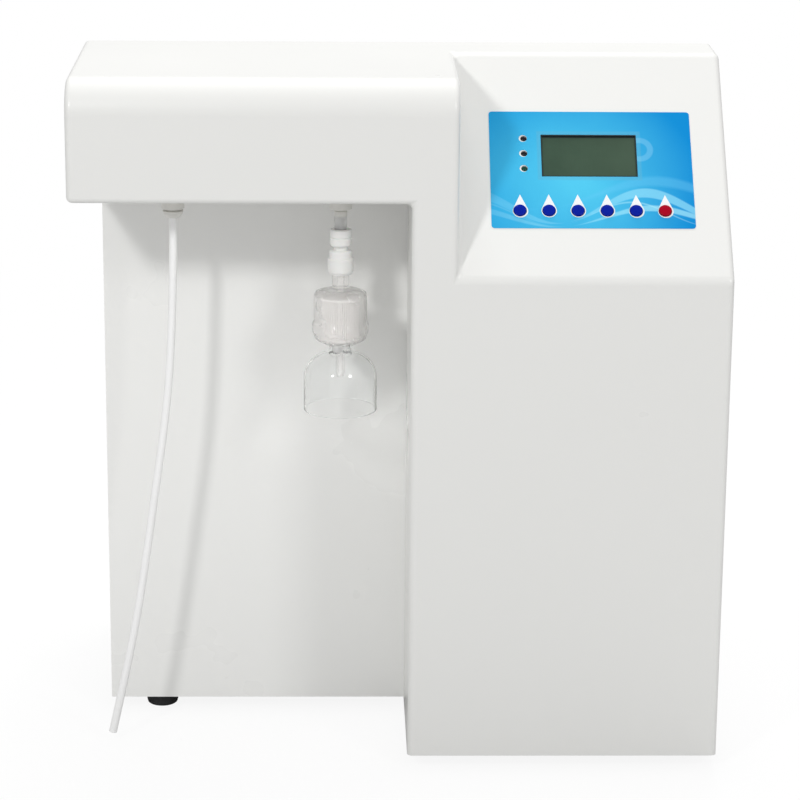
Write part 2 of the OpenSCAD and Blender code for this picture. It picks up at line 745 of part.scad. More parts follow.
// Outlets
// Bulkhead fitting through the head: flange, body, grooved neck and a tip that narrows downwards
module outlet_body(x, slot_neck_d, tip_low_d, tip_high_d, tip_h) {
  difference() {
    union() {
      rod_z(x, outlet_d, head_z - outlet_flange_t, head_z, outlet_flange_d / 2);
      rod_z(x, outlet_d, head_z - eps, spigot_z, outlet_thread_d / 2);
      rod_z(x, outlet_d, outlet_low, head_z - outlet_flange_t + eps, outlet_body_d / 2);
      rod_z(x, outlet_d, tip_top - eps, outlet_low + eps, slot_neck_d / 2);
      translate([x, outlet_d, tip_top - tip_h]) cylinder(h = tip_h, d1 = tip_low_d, d2 = tip_high_d);
    }
    rod_z(x, outlet_d, tip_top - tip_h - 1, spigot_z + 1, outlet_bore_d / 2);
  }
}
module tube_outlet_fitting() {
  color(cream) in_case() outlet_body(tube_outlet_x, taper_d, taper_d, taper_top_d, taper_h);
}
module filter_outlet_fitting() {
  color(cream) in_case() outlet_body(filter_outlet_x, ferrule_d - 3, ferrule_d, ferrule_d, ferrule_h);
}
module outlet_nuts() {
  color(cream) in_case() for (x = [tube_outlet_x, filter_outlet_x])
    translate([x, outlet_d, head_z + shell_t]) difference() {
      cylinder(h = nut_t, d = nut_d, $fn = 6);
      translate([0, 0, -1]) cylinder(h = nut_t + 2, d = outlet_thread_d);
    }
}
module outlet_valves() {
  color(cream) in_case() for (x = [tube_outlet_x, filter_outlet_x]) {
    difference() {
      block([x - valve_w / 2, outlet_d - valve_w / 2, spigot_z],
        [x + valve_w / 2, outlet_d + valve_w / 2, spigot_z + valve_h]);
      rod_z(x, outlet_d, spigot_z - 1, spigot_z + 8, outlet_bore_d / 2);
    }
    rod_y(x, outlet_d + valve_w / 2 - eps, outlet_d + valve_w / 2 + port_l,
      spigot_z + valve_h / 2, port_d / 2);
    rod_z(x, outlet_d, spigot_z + valve_h - eps, spigot_z + valve_h + coil_h, coil_d / 2);
  }
}
module dispense_tube() {
  color(clear) in_case() sweep(curve(hose_points, 2), hose_d / 2, hose_sides, end_ways(hose_points));
}

module filter_stub() {
  color(clear) in_case()
    rod_z(filter_outlet_x, outlet_d, union_z - 4, tip_top - ferrule_h, stub_d / 2);
}
module union_nut() {
  groove = 0.6;
  color(white) in_case() translate([filter_outlet_x, outlet_d, union_z - union_h]) difference() {
    cylinder(h = union_h, d = union_d);
    translate([0, 0, union_h - 4]) cylinder(h = 5, d = stub_d);
    translate([0, 0, -1]) cylinder(h = union_h - 3, r = neck_d / 2 + shaft_gap);
    translate([0, 0, 5.5]) difference() {
      cylinder(h = 1, d = union_d + 2);
      translate([0, 0, -1]) cylinder(h = 3, d = union_d - 2 * groove);
    }
  }
}
module filter_adapter() {
  low = union_z - union_h - neck_h - adapter_h;
  color(white) in_case() translate([filter_outlet_x, outlet_d, low]) difference() {
    union() {
      cylinder(h = 1.5, d1 = adapter_d - 3, d2 = adapter_d);
      translate([0, 0, 1.5 - eps]) cylinder(h = 10.5, d = adapter_d);
      translate([0, 0, 12 - 2 * eps]) cylinder(h = 1.5, d1 = adapter_d, d2 = adapter_d - 2.6);
      translate([0, 0, 13.5 - 3 * eps]) cylinder(h = adapter_h - 13.5, d = adapter_d - 2.6);
      translate([0, 0, adapter_h - 4 * eps]) cylinder(h = neck_h + 7, d = neck_d);
    }
    translate([0, 0, -1]) cylinder(h = 9, d = nipple_d - 3);
  }
}
// Outline of the capsule from its nipple down to the nozzle, radius across and height up
module capsule_outline() {
  r = capsule_d / 2;
  ring_r = r + 1.2;
  polygon([[0, capsule_low - spout_h - nozzle_h], [nozzle_d / 2 - 1, capsule_low - spout_h - nozzle_h],
    [nozzle_d / 2, capsule_low - spout_h - nozzle_h + 3], [nozzle_d / 2, capsule_low - spout_h],
    [spout_d / 2, capsule_low - spout_h], [spout_d / 2, capsule_low],
    [r - 7, capsule_low], [r - 3, capsule_low + 1.5],
    [ring_r - 1, capsule_low + 5], [ring_r, capsule_low + 8],
    [ring_r, capsule_low + wrap_h - 4], [r, capsule_low + wrap_h],
    [r, capsule_top - 3], [r - 1, capsule_top - 1.5],
    [nipple_d / 2, capsule_top], [nipple_d / 2, capsule_top + nipple_h], [0, capsule_top + nipple_h]]);
}
core_gap = 3;
module filter_capsule() {
  color(clear) in_case() translate([filter_outlet_x, outlet_d, 0]) difference() {
    rotate_extrude() capsule_outline();
    translate([0, 0, capsule_low + core_gap])
      cylinder(h = capsule_h - 2 * core_gap, r = capsule_d / 2 - core_gap / 2 - 0.5);
    translate([0, 0, capsule_low - spout_h - nozzle_h - 1])
      cylinder(h = spout_h + nozzle_h + core_gap + 2, r = 1.8);
    translate([0, 0, capsule_top - core_gap - 1]) cylinder(h = nipple_h + core_gap + 2, r = 2.5);
  }
}
module filter_core() {
  color(cream) in_case() translate([filter_outlet_x, outlet_d, capsule_low + core_gap]) difference() {
    cylinder(h = capsule_h - 2 * core_gap, r = capsule_d / 2 - core_gap - 3);
    translate([0, 0, -1]) cylinder(h = capsule_h, r = 5);
  }
}
module filter_bell() {
  low = bell_top - bell_h;
  neck_r = collar_d / 2;
  rise = bell_dome_h;
  function dome(r1, r2, z, h) = [for (a = [0 : 10 : 90]) [r1 + (r2 - r1) * cos(a), z + h * sin(a)]];
  color(clear) in_case() translate([filter_outlet_x, outlet_d, 0]) rotate_extrude() polygon(concat(
    [[bell_d / 2, low]], dome(neck_r, bell_d / 2, bell_top - rise, rise), [[neck_r, bell_top + collar_h],
      [spout_d / 2 + seat_gap, bell_top + collar_h]],
    [for (a = [90 : -10 : 0]) let (p = [spout_d / 2 + seat_gap, bell_d / 2 - bell_t])
      [p[0] + (p[1] - p[0]) * cos(a), bell_top - rise + (rise - bell_t) * sin(a)]],
    [[bell_d / 2 - bell_t, low]]));
}

// Works
module cartridge(x) {
  translate([x, cartridge_y, tray_t]) {
    cylinder(h = cap_h, d = cartridge_d);
    translate([0, 0, cap_h - eps]) cylinder(h = cartridge_h - 2 * cap_h + 2 * eps, d = barrel_d);
    translate([0, 0, cartridge_h - cap_h]) cylinder(h = cap_h, d = cartridge_d);
    for (s = [-1, 1]) translate([s * port_off, 0, cartridge_h - eps])
      cylinder(h = port_l + eps, d = port_d);
  }
}
module pretreatment_cartridge() {
  color(white) in_case() cartridge(cartridge_x);
}
module polishing_cartridge() {
  color(cream) in_case() cartridge(cartridge_x + cartridge_pitch);
}
// Upright C-clip whose back reaches the mounting plate
module upright_clip(x, y, z, d) {
  translate([x, y, z]) difference() {
    union() {
      cylinder(h = clip_h, d = d + 2 * clip_t + 0.4);
      translate([-clip_pad / 2, 0, 0]) cube([clip_pad, plate_y - y, clip_h]);
    }
    translate([0, 0, -1]) cylinder(h = clip_h + 2, d = d + 0.4);
    translate([-d, -d, -1]) cube([2 * d, d * 0.75, clip_h + 2]);
  }
}
module cartridge_clips() {
  color(black) in_case() for (i = [0, 1], z = [90, 240])
    upright_clip(cartridge_x + i * cartridge_pitch, cartridge_y, z, barrel_d);
}
module ro_housing() {
  color(white) in_case() difference() {
    union() {
      rod_x(ro_x + ro_cap_l - 12, ro_x + ro_l, ro_y, ro_z, ro_d / 2);
      for (s = [-1, 1])
        rod_x(ro_x + ro_l - eps, ro_x + ro_l + port_l, ro_y, ro_z + s * ro_port_off, port_d / 2);
    }
    rod_x(ro_x, ro_x + ro_l - 5, ro_y, ro_z, ro_d / 2 - ro_wall);
  }
}
module ro_cap() {
  color(white) in_case() difference() {
    union() {
      rod_x(ro_x, ro_x + ro_cap_l, ro_y, ro_z, ro_cap_d / 2);
      rod_x(ro_x - port_l, ro_x + eps, ro_y, ro_z, port_d / 2);
    }
    rod_x(ro_x + 8, ro_x + ro_cap_l + 1, ro_y, ro_z, ro_d / 2 + 0.1);
  }
}
module ro_membrane() {
  color(cream) in_case()
    rod_x(ro_x + ro_cap_l, ro_x + ro_l - 5 - seat_gap, ro_y, ro_z, ro_d / 2 - ro_wall - seat_gap);
}
module ro_clips() {
  color(black) in_case() for (x = [135, 270])
  translate([x + clip_h, ro_y, ro_z]) rotate([0, -90, 0]) difference() {
    union() {
      cylinder(h = clip_h, d = ro_d + 2 * clip_t + 0.4);
      translate([-clip_pad / 2, 0, 0]) cube([clip_pad, plate_y - ro_y, clip_h]);
    }
    translate([0, 0, -1]) cylinder(h = clip_h + 2, d = ro_d + 0.4);
    translate([-ro_d, -ro_d, -1]) cube([2 * ro_d, ro_d * 0.75, clip_h + 2]);
  }
}
module uv_reactor() {
  color(steel) in_case() difference() {
    union() {
      rod_z(uv_x, uv_y, uv_z, uv_z + uv_l, uv_d / 2);
      for (z = [uv_low_port, uv_high_port]) rod_x(uv_side, uv_x - uv_d / 2 + 1, uv_y, z, port_d / 2);
    }
    rod_z(uv_x, uv_y, uv_z - 1, uv_z + uv_l + 1, uv_d / 2 - uv_wall);
  }
}
module uv_end_caps() {
  color(black) in_case() for (z = [uv_z - uv_cap_h, uv_z + uv_l]) difference() {
    rod_z(uv_x, uv_y, z, z + uv_cap_h, uv_cap_d / 2);
    rod_z(uv_x, uv_y, z - 1, z + uv_cap_h + 1, 8.5);
  }
}
module uv_lamp() {
  color(cream) in_case() rod_z(uv_x, uv_y, uv_z - uv_cap_h, uv_z + uv_l + uv_cap_h, 8.2);
}
module uv_clips() {
  color(black) in_case() for (z = [uv_z + 60, uv_z + 160]) upright_clip(uv_x, uv_y, z, uv_d);
}
module uv_ballast() {
  color(cream) in_case() block([ballast_x, plate_y - 26, 60], [plate_x2, plate_y, 140]);
}

module pump_heads() {
  color(black) in_case() for (i = [0, 1]) difference() {
    union() {
      rod_y(pump_x[i], pump_y, motor_y, pump_z, pump_head_d / 2);
      for (s = [-1, 1])
        rod_z(pump_x[i] + s * pump_port_off, pump_port_y, pump_z,
          pump_z + pump_head_d / 2 + port_l, port_d / 2);
    }
    rod_y(pump_x[i], motor_y - 30, motor_y + 1, pump_z, cam_room_d / 2);
  }
}
module pump_motors() {
  color(steel) in_case() for (i = [0, 1]) difference() {
    rod_y(pump_x[i], motor_y, motor_y + pump_motor_l, pump_z, pump_motor_d / 2);
    rod_y(pump_x[i], motor_y + motor_wall, motor_y + pump_motor_l - motor_wall,
      pump_z, pump_motor_d / 2 - 4);
    rod_y(pump_x[i], motor_y - 1, motor_y + pump_motor_l - 1, pump_z, shaft_d / 2 + shaft_gap);
  }
}
module pump_shaft(i) {
  color(steel) in_case() {
    rod_y(pump_x[i], motor_y - 26, motor_y + pump_motor_l - 1.5, pump_z, shaft_d / 2);
    rod_y(pump_x[i], motor_y + motor_wall + 10, motor_y + pump_motor_l - motor_wall - 10,
      pump_z, rotor_d / 2);
    rod_y(pump_x[i] + cam_off, motor_y - 26, motor_y - 8, pump_z, cam_d / 2);
  }
}
module booster_shaft() { pump_shaft(0); }
module delivery_shaft() { pump_shaft(1); }
bracket_w = 70;
bracket_y = motor_y + 10;
bracket_l = 80;
module pump_brackets() {
  color(steel) in_case() for (i = [0, 1]) difference() {
    union() {
      translate([pump_x[i] - bracket_w / 2, bracket_y, tray_t + grommet_h])
        cube([bracket_w, bracket_l, bracket_t]);
      translate([pump_x[i] - 22, bracket_y + 12, tray_t + grommet_h + bracket_t - eps])
        cube([44, bracket_l - 24, pump_z - tray_t - grommet_h - bracket_t - 20]);
    }
    rod_y(pump_x[i], bracket_y - 1, bracket_y + bracket_l + 1, pump_z, pump_motor_d / 2);
  }
}
module pump_grommets() {
  color(black) in_case() for (i = [0, 1], x = [-1, 1], y = [10, bracket_l - 10])
    rod_z(pump_x[i] + x * (bracket_w / 2 - 9), bracket_y + y, tray_t, tray_t + grommet_h, grommet_d / 2);
}
module power_supply() {
  low = [supply_x, plate_y - supply[1], supply_z];
  color(steel) in_case() difference() {
    block(low, low + supply);
    for (i = [0 : 5]) block(low + [15, -1, 25 + i * 10], low + [supply[0] - 15, 2, 29 + i * 10]);
  }
}
module line_valves() {
  color(cream) in_case() for (x = valve_x) {
    y = plate_y - valve_block[1];
    block([x - valve_block[0] / 2, y, valve_z],
      [x + valve_block[0] / 2, plate_y, valve_z + valve_block[2]]);
    rod_x(x - valve_block[0] / 2 - port_l, x + valve_block[0] / 2 + port_l, y + valve_block[1] / 2,
      valve_z + valve_block[2] / 2, port_d / 2 - 1);
    rod_z(x, plate_y - 16, valve_z + valve_block[2] - eps, valve_z + valve_block[2] + small_coil_h, 15);
  }
}

// Tubes and wires that stay inside the case; both ends stand square to their ports.
// Hand-set points between the ports are for the case as drawn: spread() stretches them with the
// case, and beside() does so for depth and height but keeps them level with a port sideways.
drawn = [500, 345, 532];
function stretched(p) = [p[0], p[1] * case_d / drawn[1], p[2] * case_h / drawn[2]];
function beside(x, points) = [for (p = points) [x, 0, 0] + stretched(p)];
function spread(points) = [for (p = points) stretched([p[0] * case_w / drawn[0], p[1], p[2]])];
function end_ways(p) = [unit(p[1] - p[0]), unit(p[len(p) - 1] - p[len(p) - 2])];
module run(points, r) {
  sweep(curve(points, 3), r, tube_sides, end_ways(points));
}
module inner_tube(from, middle, to) {
  run(concat(from, middle, to), tube_r);
}
up = [0, 0, 12];
back = [0, 12, 0];
right = [12, 0, 0];
through = [0, 32, 0]; // from a rear port through the mounting plate
module raw_tubing() {
  color(clear) in_case() {
    // feed port to feed valve
    inner_tube([rear_port(0), rear_port(0) - through],
      beside(port_x[0], [[-7, 276, 142], [-16, 272, 120], [-21, 278, 100]]),
      [line_valve_port(0, -1) - right, line_valve_port(0, -1)]);
    // feed valve to the first cartridge
    inner_tube([line_valve_port(0, 1), line_valve_port(0, 1) + right],
      concat(beside(valve_x[0], [[49, 268, 95], [47, 240, 135]]),
        spread([[306, 220, 250], [290, 212, 340], [232, 210, 366], [150, 214, 368], [75, 232, 370]])),
      [pre_in + up, pre_in]);
    // first cartridge to the booster pump
    inner_tube([pre_out, pre_out + up],
      spread([[112, 232, 366], [145, 190, 355], [200, 150, 300], [240, 150, 240], [290, 150, 200],
        [308, 110, 165], [312, 72, 142]]),
      [pump_port(0, -1) + up, pump_port(0, -1)]);
    // booster pump to the membrane housing
    inner_tube([pump_port(0, 1), pump_port(0, 1) + up],
      spread([[345, 85, 155], [332, 150, 240], [250, 175, 365], [150, 185, 412], [60, 205, 442],
        [32, 232, 438]]),
      [ro_in - right, ro_in]);
    // membrane reject to the flush valve
    inner_tube([ro_reject, ro_reject + right],
      spread([[371, 274, 402], [363, 286, 370], [361, 287, 300], [361, 287, 200], [370, 286, 155],
        [398, 285, 143], [424, 284, 122], [432, 284, 96]]),
      [line_valve_port(1, 1) + right, line_valve_port(1, 1)]);
    // flush valve to the drain port
    inner_tube([rear_port(2), rear_port(2) - through],
      beside(line_valve_port(1, -1)[0], [[-8, 276, 144], [-18, 268, 128], [-20, 270, 104]]),
      [line_valve_port(1, -1) - right, line_valve_port(1, -1)]);
  }
}
module product_tubing() {
  color(clear) in_case() {
    // membrane product to the tube outlet
    inner_tube([ro_product, ro_product + right],
      spread([[380, 240, 456], [340, 200, 476], [210, 160, 486], [120, 118, 482]]),
      [valve_out[0] + back, valve_out[0]]);
    // polishing cartridge to the filter outlet
    inner_tube([pol_out, pol_out + up], spread([[212, 232, 374], [217, 190, 402], [214, 142, 459]]),
      [valve_out[1] + back, valve_out[1]]);
    // tank port to the delivery pump
    inner_tube([rear_port(1), rear_port(1) - through],
      concat(beside(port_x[1], [[14, 274, 165]]),
        spread([[345, 260, 176], [368, 230, 184], [388, 170, 180], [412, 92, 158]])),
      [pump_port(1, -1) + up, pump_port(1, -1)]);
    // delivery pump to the lamp reactor
    inner_tube([pump_port(1, 1), pump_port(1, 1) + up],
      spread([[450, 85, 155], [430, 150, 225], [378, 182, 246], [356, 222, 226], [358, 252, 200]]),
      [uv_in - right, uv_in]);
    // lamp reactor to the polishing cartridge
    inner_tube([uv_out, uv_out - right],
      spread([[354, 238, 384], [300, 212, 386], [230, 192, 388], [178, 200, 385], [164, 230, 374]]),
      [pol_in + up, pol_in]);
  }
}
module wiring() {
  inlet_back = [90, rear_y - inlet_depth, 70];
  supply_top = [supply_x + supply[0] / 2, plate_y - supply[1] / 2, supply_z + supply[2]];
  supply_side = supply_top + [supply[0] / 3, -7, 0];
  color(black) in_case() {
    run(concat([inlet_back, inlet_back - [0, 7, 0]],
      spread([[100, 307, 110], [160, 307, 240], [240, 307, 340], [280, 308, 366]]),
      [supply_top + [0, 25, 22], supply_top + [0, 9, 22], supply_top + up, supply_top]), wire_r);
    run(concat([supply_side, supply_side + up],
      spread([[335, 240, 366], [372, 200, 372], [395, 165, 400], [395, 140, 426]])), wire_r);
  }
}

// Rear connections
module rear_ports() {
  color(white) in_case() for (x = port_x) difference() {
    union() {
      rod_y(x, case_d, case_d + port_flange_t, port_z, port_body_d / 2);
      rod_y(x, case_d + port_flange_t - eps, case_d + port_reach, port_z, port_neck_d / 2);
      rod_y(x, rear_y - 8, case_d + eps, port_z, port_neck_d / 2);
      rod_y(x, rear_y - 6, rear_y, port_z, port_body_d / 2 + 1);
      rod_y(x, rear_y - port_tail, rear_y - 8 + eps, port_z, tail_d / 2);
    }
    rod_y(x, case_d - 2, case_d + port_reach + 1, port_z, port_bore_d / 2);
    rod_y(x, rear_y - port_tail - 1, case_d, port_z, 2);
  }
}
socket_x = inlet_x + (inlet_w - socket[0]) / 2;
socket_z = inlet_z + 6;
rocker_x = inlet_x + inlet_w / 2;
rocker_z = inlet_z + inlet_h - rocker_h / 2 - 6;
rocker_y = case_d + inlet_lip - 3.5;
rocker_r = rocker_h / 2 - 0.5;
module power_inlet() {
  color(black) in_case() {
    difference() {
      union() {
        block([inlet_x, case_d, inlet_z], [inlet_x + inlet_w, case_d + inlet_lip, inlet_z + inlet_h]);
        block([inlet_x + 2, rear_y - inlet_depth, inlet_z + 2],
          [inlet_x + inlet_w - 2, case_d + eps, inlet_z + inlet_h - 2]);
      }
      block([socket_x, case_d + inlet_lip - socket[2], socket_z],
        [socket_x + socket[0], case_d + inlet_lip + 1, socket_z + socket[1]]);
      block([rocker_x - rocker_w / 2 - rocker_gap, case_d - 14, rocker_z - rocker_h / 2 - rocker_gap],
        [rocker_x + rocker_w / 2 + rocker_gap, case_d + inlet_lip + 1,
          rocker_z + rocker_h / 2 + rocker_gap]);
    }
    for (x = [-7, 0, 7])
      block([rocker_x + x - 2, case_d + inlet_lip - socket[2] - 1, socket_z + (x == 0 ? 8.5 : 4.5)],
        [rocker_x + x + 2, case_d + inlet_lip - 4, socket_z + (x == 0 ? 11 : 7)]);
    for (s = [-1, 1], x = rocker_x + s * (rocker_w / 2 + rocker_gap - 0.45))
      rod_x(x - 1.05, x + 1.05, rocker_y, rocker_z, 1.5);
  }
}
module power_rocker() {
  color(black) in_case() translate([rocker_x, rocker_y, rocker_z]) difference() {
    intersection() {
      translate([-rocker_w / 2, 0, 0]) rotate([rocker_swing / 2, 0, 0]) rotate([0, 90, 0])
        linear_extrude(rocker_w)
          polygon([[-rocker_r, 5.2], [0, 3.6], [rocker_r, 5.2], [rocker_r - 2, -3],
            [4, -7], [-4, -7], [2 - rocker_r, -3]]);
      rotate([0, 90, 0]) cylinder(h = rocker_w + 2, r = rocker_r + 0.3, center = true);
    }
    for (s = [-1, 1]) rod_x(s * rocker_w / 2 - 1.2, s * rocker_w / 2 + 1.2, 0, 0, 1.5 + shaft_gap);
  }
}

fascia();
bay_panel();
cabinet_cover();
rear_panel();
floor_tray();
rubber_feet();
foot_screws();
case_screws();
mounting_plate();
panel_film();
display_lens();
display_module();
control_board();
board_screws();
key_switches();
status_lamps();
button_1();
button_2();
button_3();
button_4();
button_5();
button_6();
tube_outlet_fitting();
filter_outlet_fitting();
outlet_nuts();
outlet_valves();
dispense_tube();
filter_stub();
union_nut();
filter_adapter();
filter_capsule();
filter_core();
filter_bell();
pretreatment_cartridge();
polishing_cartridge();
cartridge_clips();
ro_housing();
ro_cap();
ro_membrane();
ro_clips();
uv_reactor();
uv_end_caps();
uv_lamp();
uv_clips();
uv_ballast();
pump_heads();
pump_motors();
booster_shaft();
delivery_shaft();
pump_brackets();
pump_grommets();
power_supply();
line_valves();
raw_tubing();
product_tubing();
wiring();
rear_ports();
power_inlet();
power_rocker();
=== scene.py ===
"""Looks of the bench-top ultrapure water system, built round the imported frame, in metres.

Sizes are written in millimetres: on the case's own axes, or along, up and out of the sloped panel.
"""
import math
import bpy
import bmesh
from mathutils import Matrix, Vector


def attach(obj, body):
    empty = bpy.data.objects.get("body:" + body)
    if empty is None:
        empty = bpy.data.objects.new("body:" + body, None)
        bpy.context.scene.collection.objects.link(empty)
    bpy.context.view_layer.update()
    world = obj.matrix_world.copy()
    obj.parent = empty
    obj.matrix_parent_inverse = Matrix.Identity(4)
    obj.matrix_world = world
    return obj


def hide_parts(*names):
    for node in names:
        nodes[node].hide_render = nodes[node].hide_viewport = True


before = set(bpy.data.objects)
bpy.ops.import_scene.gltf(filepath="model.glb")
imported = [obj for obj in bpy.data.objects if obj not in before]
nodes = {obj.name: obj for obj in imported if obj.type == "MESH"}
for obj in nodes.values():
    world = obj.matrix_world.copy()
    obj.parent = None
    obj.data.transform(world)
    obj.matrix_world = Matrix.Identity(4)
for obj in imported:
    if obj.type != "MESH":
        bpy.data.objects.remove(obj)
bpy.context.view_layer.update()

# ---------------------------------------------------------------- shared sizes, millimetres
MM = 0.001
# The case above its feet, its moulded front and wall, and the sheet cabinet behind the front.
CASE_W, CASE_D, CASE_H, SHELL = 500, 345, 532, 3
FRONT_D, BROW_R, COLUMN_X, STRIP_X, HEAD_Z, FRONT_EDGE = 193, 26, 257, 292, 440.5, 4.5
COVER_X, COVER_X2, ROOF_Z, BAY_D, SEAT_GAP = 17, 483, 506, 125, 0.3
# The slope, its film, and the window, caps and lamps on the film.
SLOPE_BASE, SLOPE_ANGLE = 383.5, 46.2
FILM_X, FILM_UP, FILM_W, FILM_H, FILM_T, FILM_CORNER = 318, 45.5, 155, 105, 0.4, 2.5
WINDOW_X, WINDOW_UP, WINDOW_W, WINDOW_H = 39.5, 46, 73.5, 38
BUTTON_X, BUTTON_UP, BUTTON_PITCH, BUTTON_D = 21.9, 15.5, 22.1, 9.6
CAP_HOLE_R = BUTTON_D / 2 + 0.4
LAMP_X, LAMP_DOWN, LAMP_PITCH = 26.4, 24.5, 13.6
LAMP_HOLE_R, LAMP_PRINT_R, LAMP_PRINT_SHIFT = 2.55, 3.2, 0.6
# The two outlets under the head, and the hose.
TUBE_X, FILTER_X, OUTLET_D, OUTLET_HOLE_R = 76, 204, 60, 6.15
HOSE_OUTER_R, HOSE_INNER_R = 3.175, 2.16

# ---------------------------------------------------------------- camera and light
# The camera is fitted to the photograph: its place in metres, its turn in degrees, its lens.
CAMERA_AT = (-0.0516, -2.3218, 0.9132)
CAMERA_YAW, CAMERA_PITCH, CAMERA_ROLL = 1.355, 15.921, 0.487
CAMERA_LENS, CAMERA_SENSOR = 132.43, 36
# The lamps' watts, and the strength of the white world on the part.
KEY, SIDE, TOP, BACK, WORLD = 14, 10.5, 18, 20, 0.545

# ---------------------------------------------------------------- places
# The case's front lower left corner in the row frame: the case stands on feet 12 mm high.
ORIGIN = Vector((-0.250, -0.180, 0.012))


def case(x, y, z):
    """A point given in case millimetres, in the row frame."""
    return Vector((x, y, z)) * MM + ORIGIN


# UPRIGHT takes case millimetres as they are. SIDEWAYS takes an outline of (depth, height) and runs
# along x, and FACING takes one of (x, height) and runs along the depth. SLOPE takes one of (along, up
# the slope) and runs out of the panel. PANEL does so for a piece that is put on the slope afterwards.
UPRIGHT = Matrix.Translation(ORIGIN)
SIDEWAYS = UPRIGHT @ Matrix(((0, 0, 1, 0), (1, 0, 0, 0), (0, 1, 0, 0), (0, 0, 0, 1)))
FACING = UPRIGHT @ Matrix(((1, 0, 0, 0), (0, 0, 1, 0), (0, 1, 0, 0), (0, 0, 0, 1)))
PANEL = Matrix.Identity(4)
SLOPE = (Matrix.Translation(case(0, 0, SLOPE_BASE))
         @ Matrix.Rotation(math.radians(SLOPE_ANGLE), 4, "X"))


def camera():
    """Looks from CAMERA_AT by yaw, pitch and roll in degrees."""
    yaw, pitch, roll = (math.radians(a) for a in (CAMERA_YAW, CAMERA_PITCH, CAMERA_ROLL))
    ahead = Vector((math.sin(yaw) * math.cos(pitch), math.cos(yaw) * math.cos(pitch), -math.sin(pitch)))
    right = Vector((math.cos(yaw), -math.sin(yaw), 0))
    up = right.cross(ahead)
    level, tall = (right * math.cos(roll) + up * math.sin(roll),
                   up * math.cos(roll) - right * math.sin(roll))
    cam = bpy.data.objects.new("camera", bpy.data.cameras.new("camera"))
    cam.data.lens, cam.data.sensor_width = CAMERA_LENS, CAMERA_SENSOR
    cam.data.clip_start, cam.data.clip_end = 0.1, 30
    turn = Matrix((level, tall, -ahead)).transposed().to_4x4()
    cam.matrix_world = Matrix.Translation(CAMERA_AT) @ turn
    bpy.context.scene.collection.objects.link(cam)
    bpy.context.scene.camera = cam


camera()


# ---------------------------------------------------------------- mesh helpers
def add(name, bm, body=None, mats=(), smooth=35, replaces=(), weighted=False, place=None):
    """Turns a bmesh into a piece that rides on a CAD body."""
    bmesh.ops.recalc_face_normals(bm, faces=bm.faces)
    mesh = bpy.data.meshes.new(name)
    bm.to_mesh(mesh)
    bm.free()
    for m in mats:
        mesh.materials.append(m)
    ob = bpy.data.objects.new(name, mesh)
    bpy.context.scene.collection.objects.link(ob)
    if place is not None:
        ob.matrix_world = place
    if smooth:
        mesh.polygons.foreach_set("use_smooth", [True] * len(mesh.polygons))
        mesh.set_sharp_from_angle(angle=math.radians(smooth))
    if weighted:
        w = ob.modifiers.new("weighted", "WEIGHTED_NORMAL")
        w.keep_sharp = True
        w.weight = 100
    if body:
        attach(ob, body)
    if replaces:
        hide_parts(*replaces)
    return ob


def fillet(corners, steps):
    """Rounds a polyline of (a, b, radius) corners, and gives (a, b) points. Its ends stay sharp."""
    out = []
    for i, (a, b, r) in enumerate(corners):
        p = Vector((a, b))
        if r <= 0 or i in (0, len(corners) - 1):
            out.append(p)
            continue
        before, after = Vector(corners[i - 1][:2]) - p, Vector(corners[i + 1][:2]) - p
        bend = before.angle(after)
        reach = min(r / math.tan(bend / 2), before.length * 0.49, after.length * 0.49)
        s, e = p + before.normalized() * reach, p + after.normalized() * reach
        for k in range(steps + 1):
            t = k / steps
            w = 2 * (1 - t) * t
            out.append(s * (1 - t) ** 2 + p * w + e * t ** 2)
    return [(v.x, v.y) for v in out]


def rectangle(a0, b0, a1, b1):
    """The outline of a rectangle between two corners."""
    return [(a0, b0), (a1, b0), (a1, b1), (a0, b1)]


def circle(radius, sides):
    """The outline of a circle round the origin."""
    return [(radius * math.cos(math.tau * k / sides), radius * math.sin(math.tau * k / sides))
            for k in range(sides)]


def spot(x, up):
    """A place on the panel's own axes."""
    return Matrix.Translation((x * MM, up * MM, 0))


def standing(x, y):
    """An upright axis at a case x and depth."""
    return Matrix.Translation(case(x, y, 0))


def lathe(bm, profile, place, closed=False, segments=64, mat=0):
    """Spins (radius, height) points round the third axis of a place."""
    rings = []
    for r, z in profile:
        if r < 1e-6:
            rings.append([bm.verts.new(place @ Vector((0, 0, z * MM)))])
        else:
            rings.append([bm.verts.new(place @ Vector((x * MM, y * MM, z * MM)))
                          for x, y in circle(r, segments)])
    pairs = list(zip(rings, rings[1:]))
    if closed:
        pairs.append((rings[-1], rings[0]))
    for a, b in pairs:
        for k in range(segments):
            quad = [a[k % len(a)], a[(k + 1) % len(a)], b[(k + 1) % len(b)], b[k % len(b)]]
            quad = list(dict.fromkeys(quad))
            if len(quad) > 2:
                bm.faces.new(quad).material_index = mat
    return bm


def prism(bm, outline, low, high, place, mat=0):
    """Extrudes a flat (a, b) outline from low to high along the third axis of a place."""
    bottom = [bm.verts.new(place @ (Vector((a, b, low)) * MM)) for a, b in outline]
    top = [bm.verts.new(place @ (Vector((a, b, high)) * MM)) for a, b in outline]
    n = len(outline)
    faces = [bm.faces.new(bottom[::-1]), bm.faces.new(top)]
    faces += [bm.faces.new((bottom[k], bottom[(k + 1) % n], top[(k + 1) % n], top[k])) for k in range(n)]
    for f in faces:
        f.material_index = mat
    return faces


def box(bm, low, high):
    """A block between two case points."""
    prism(bm, rectangle(*low[:2], *high[:2]), low[2], high[2], UPRIGHT)


def cylinder(bm, place, radius, low, high, segments=48):
    """A round bar, or the tool that drills its hole."""
    prism(bm, circle(radius, segments), low, high, place)


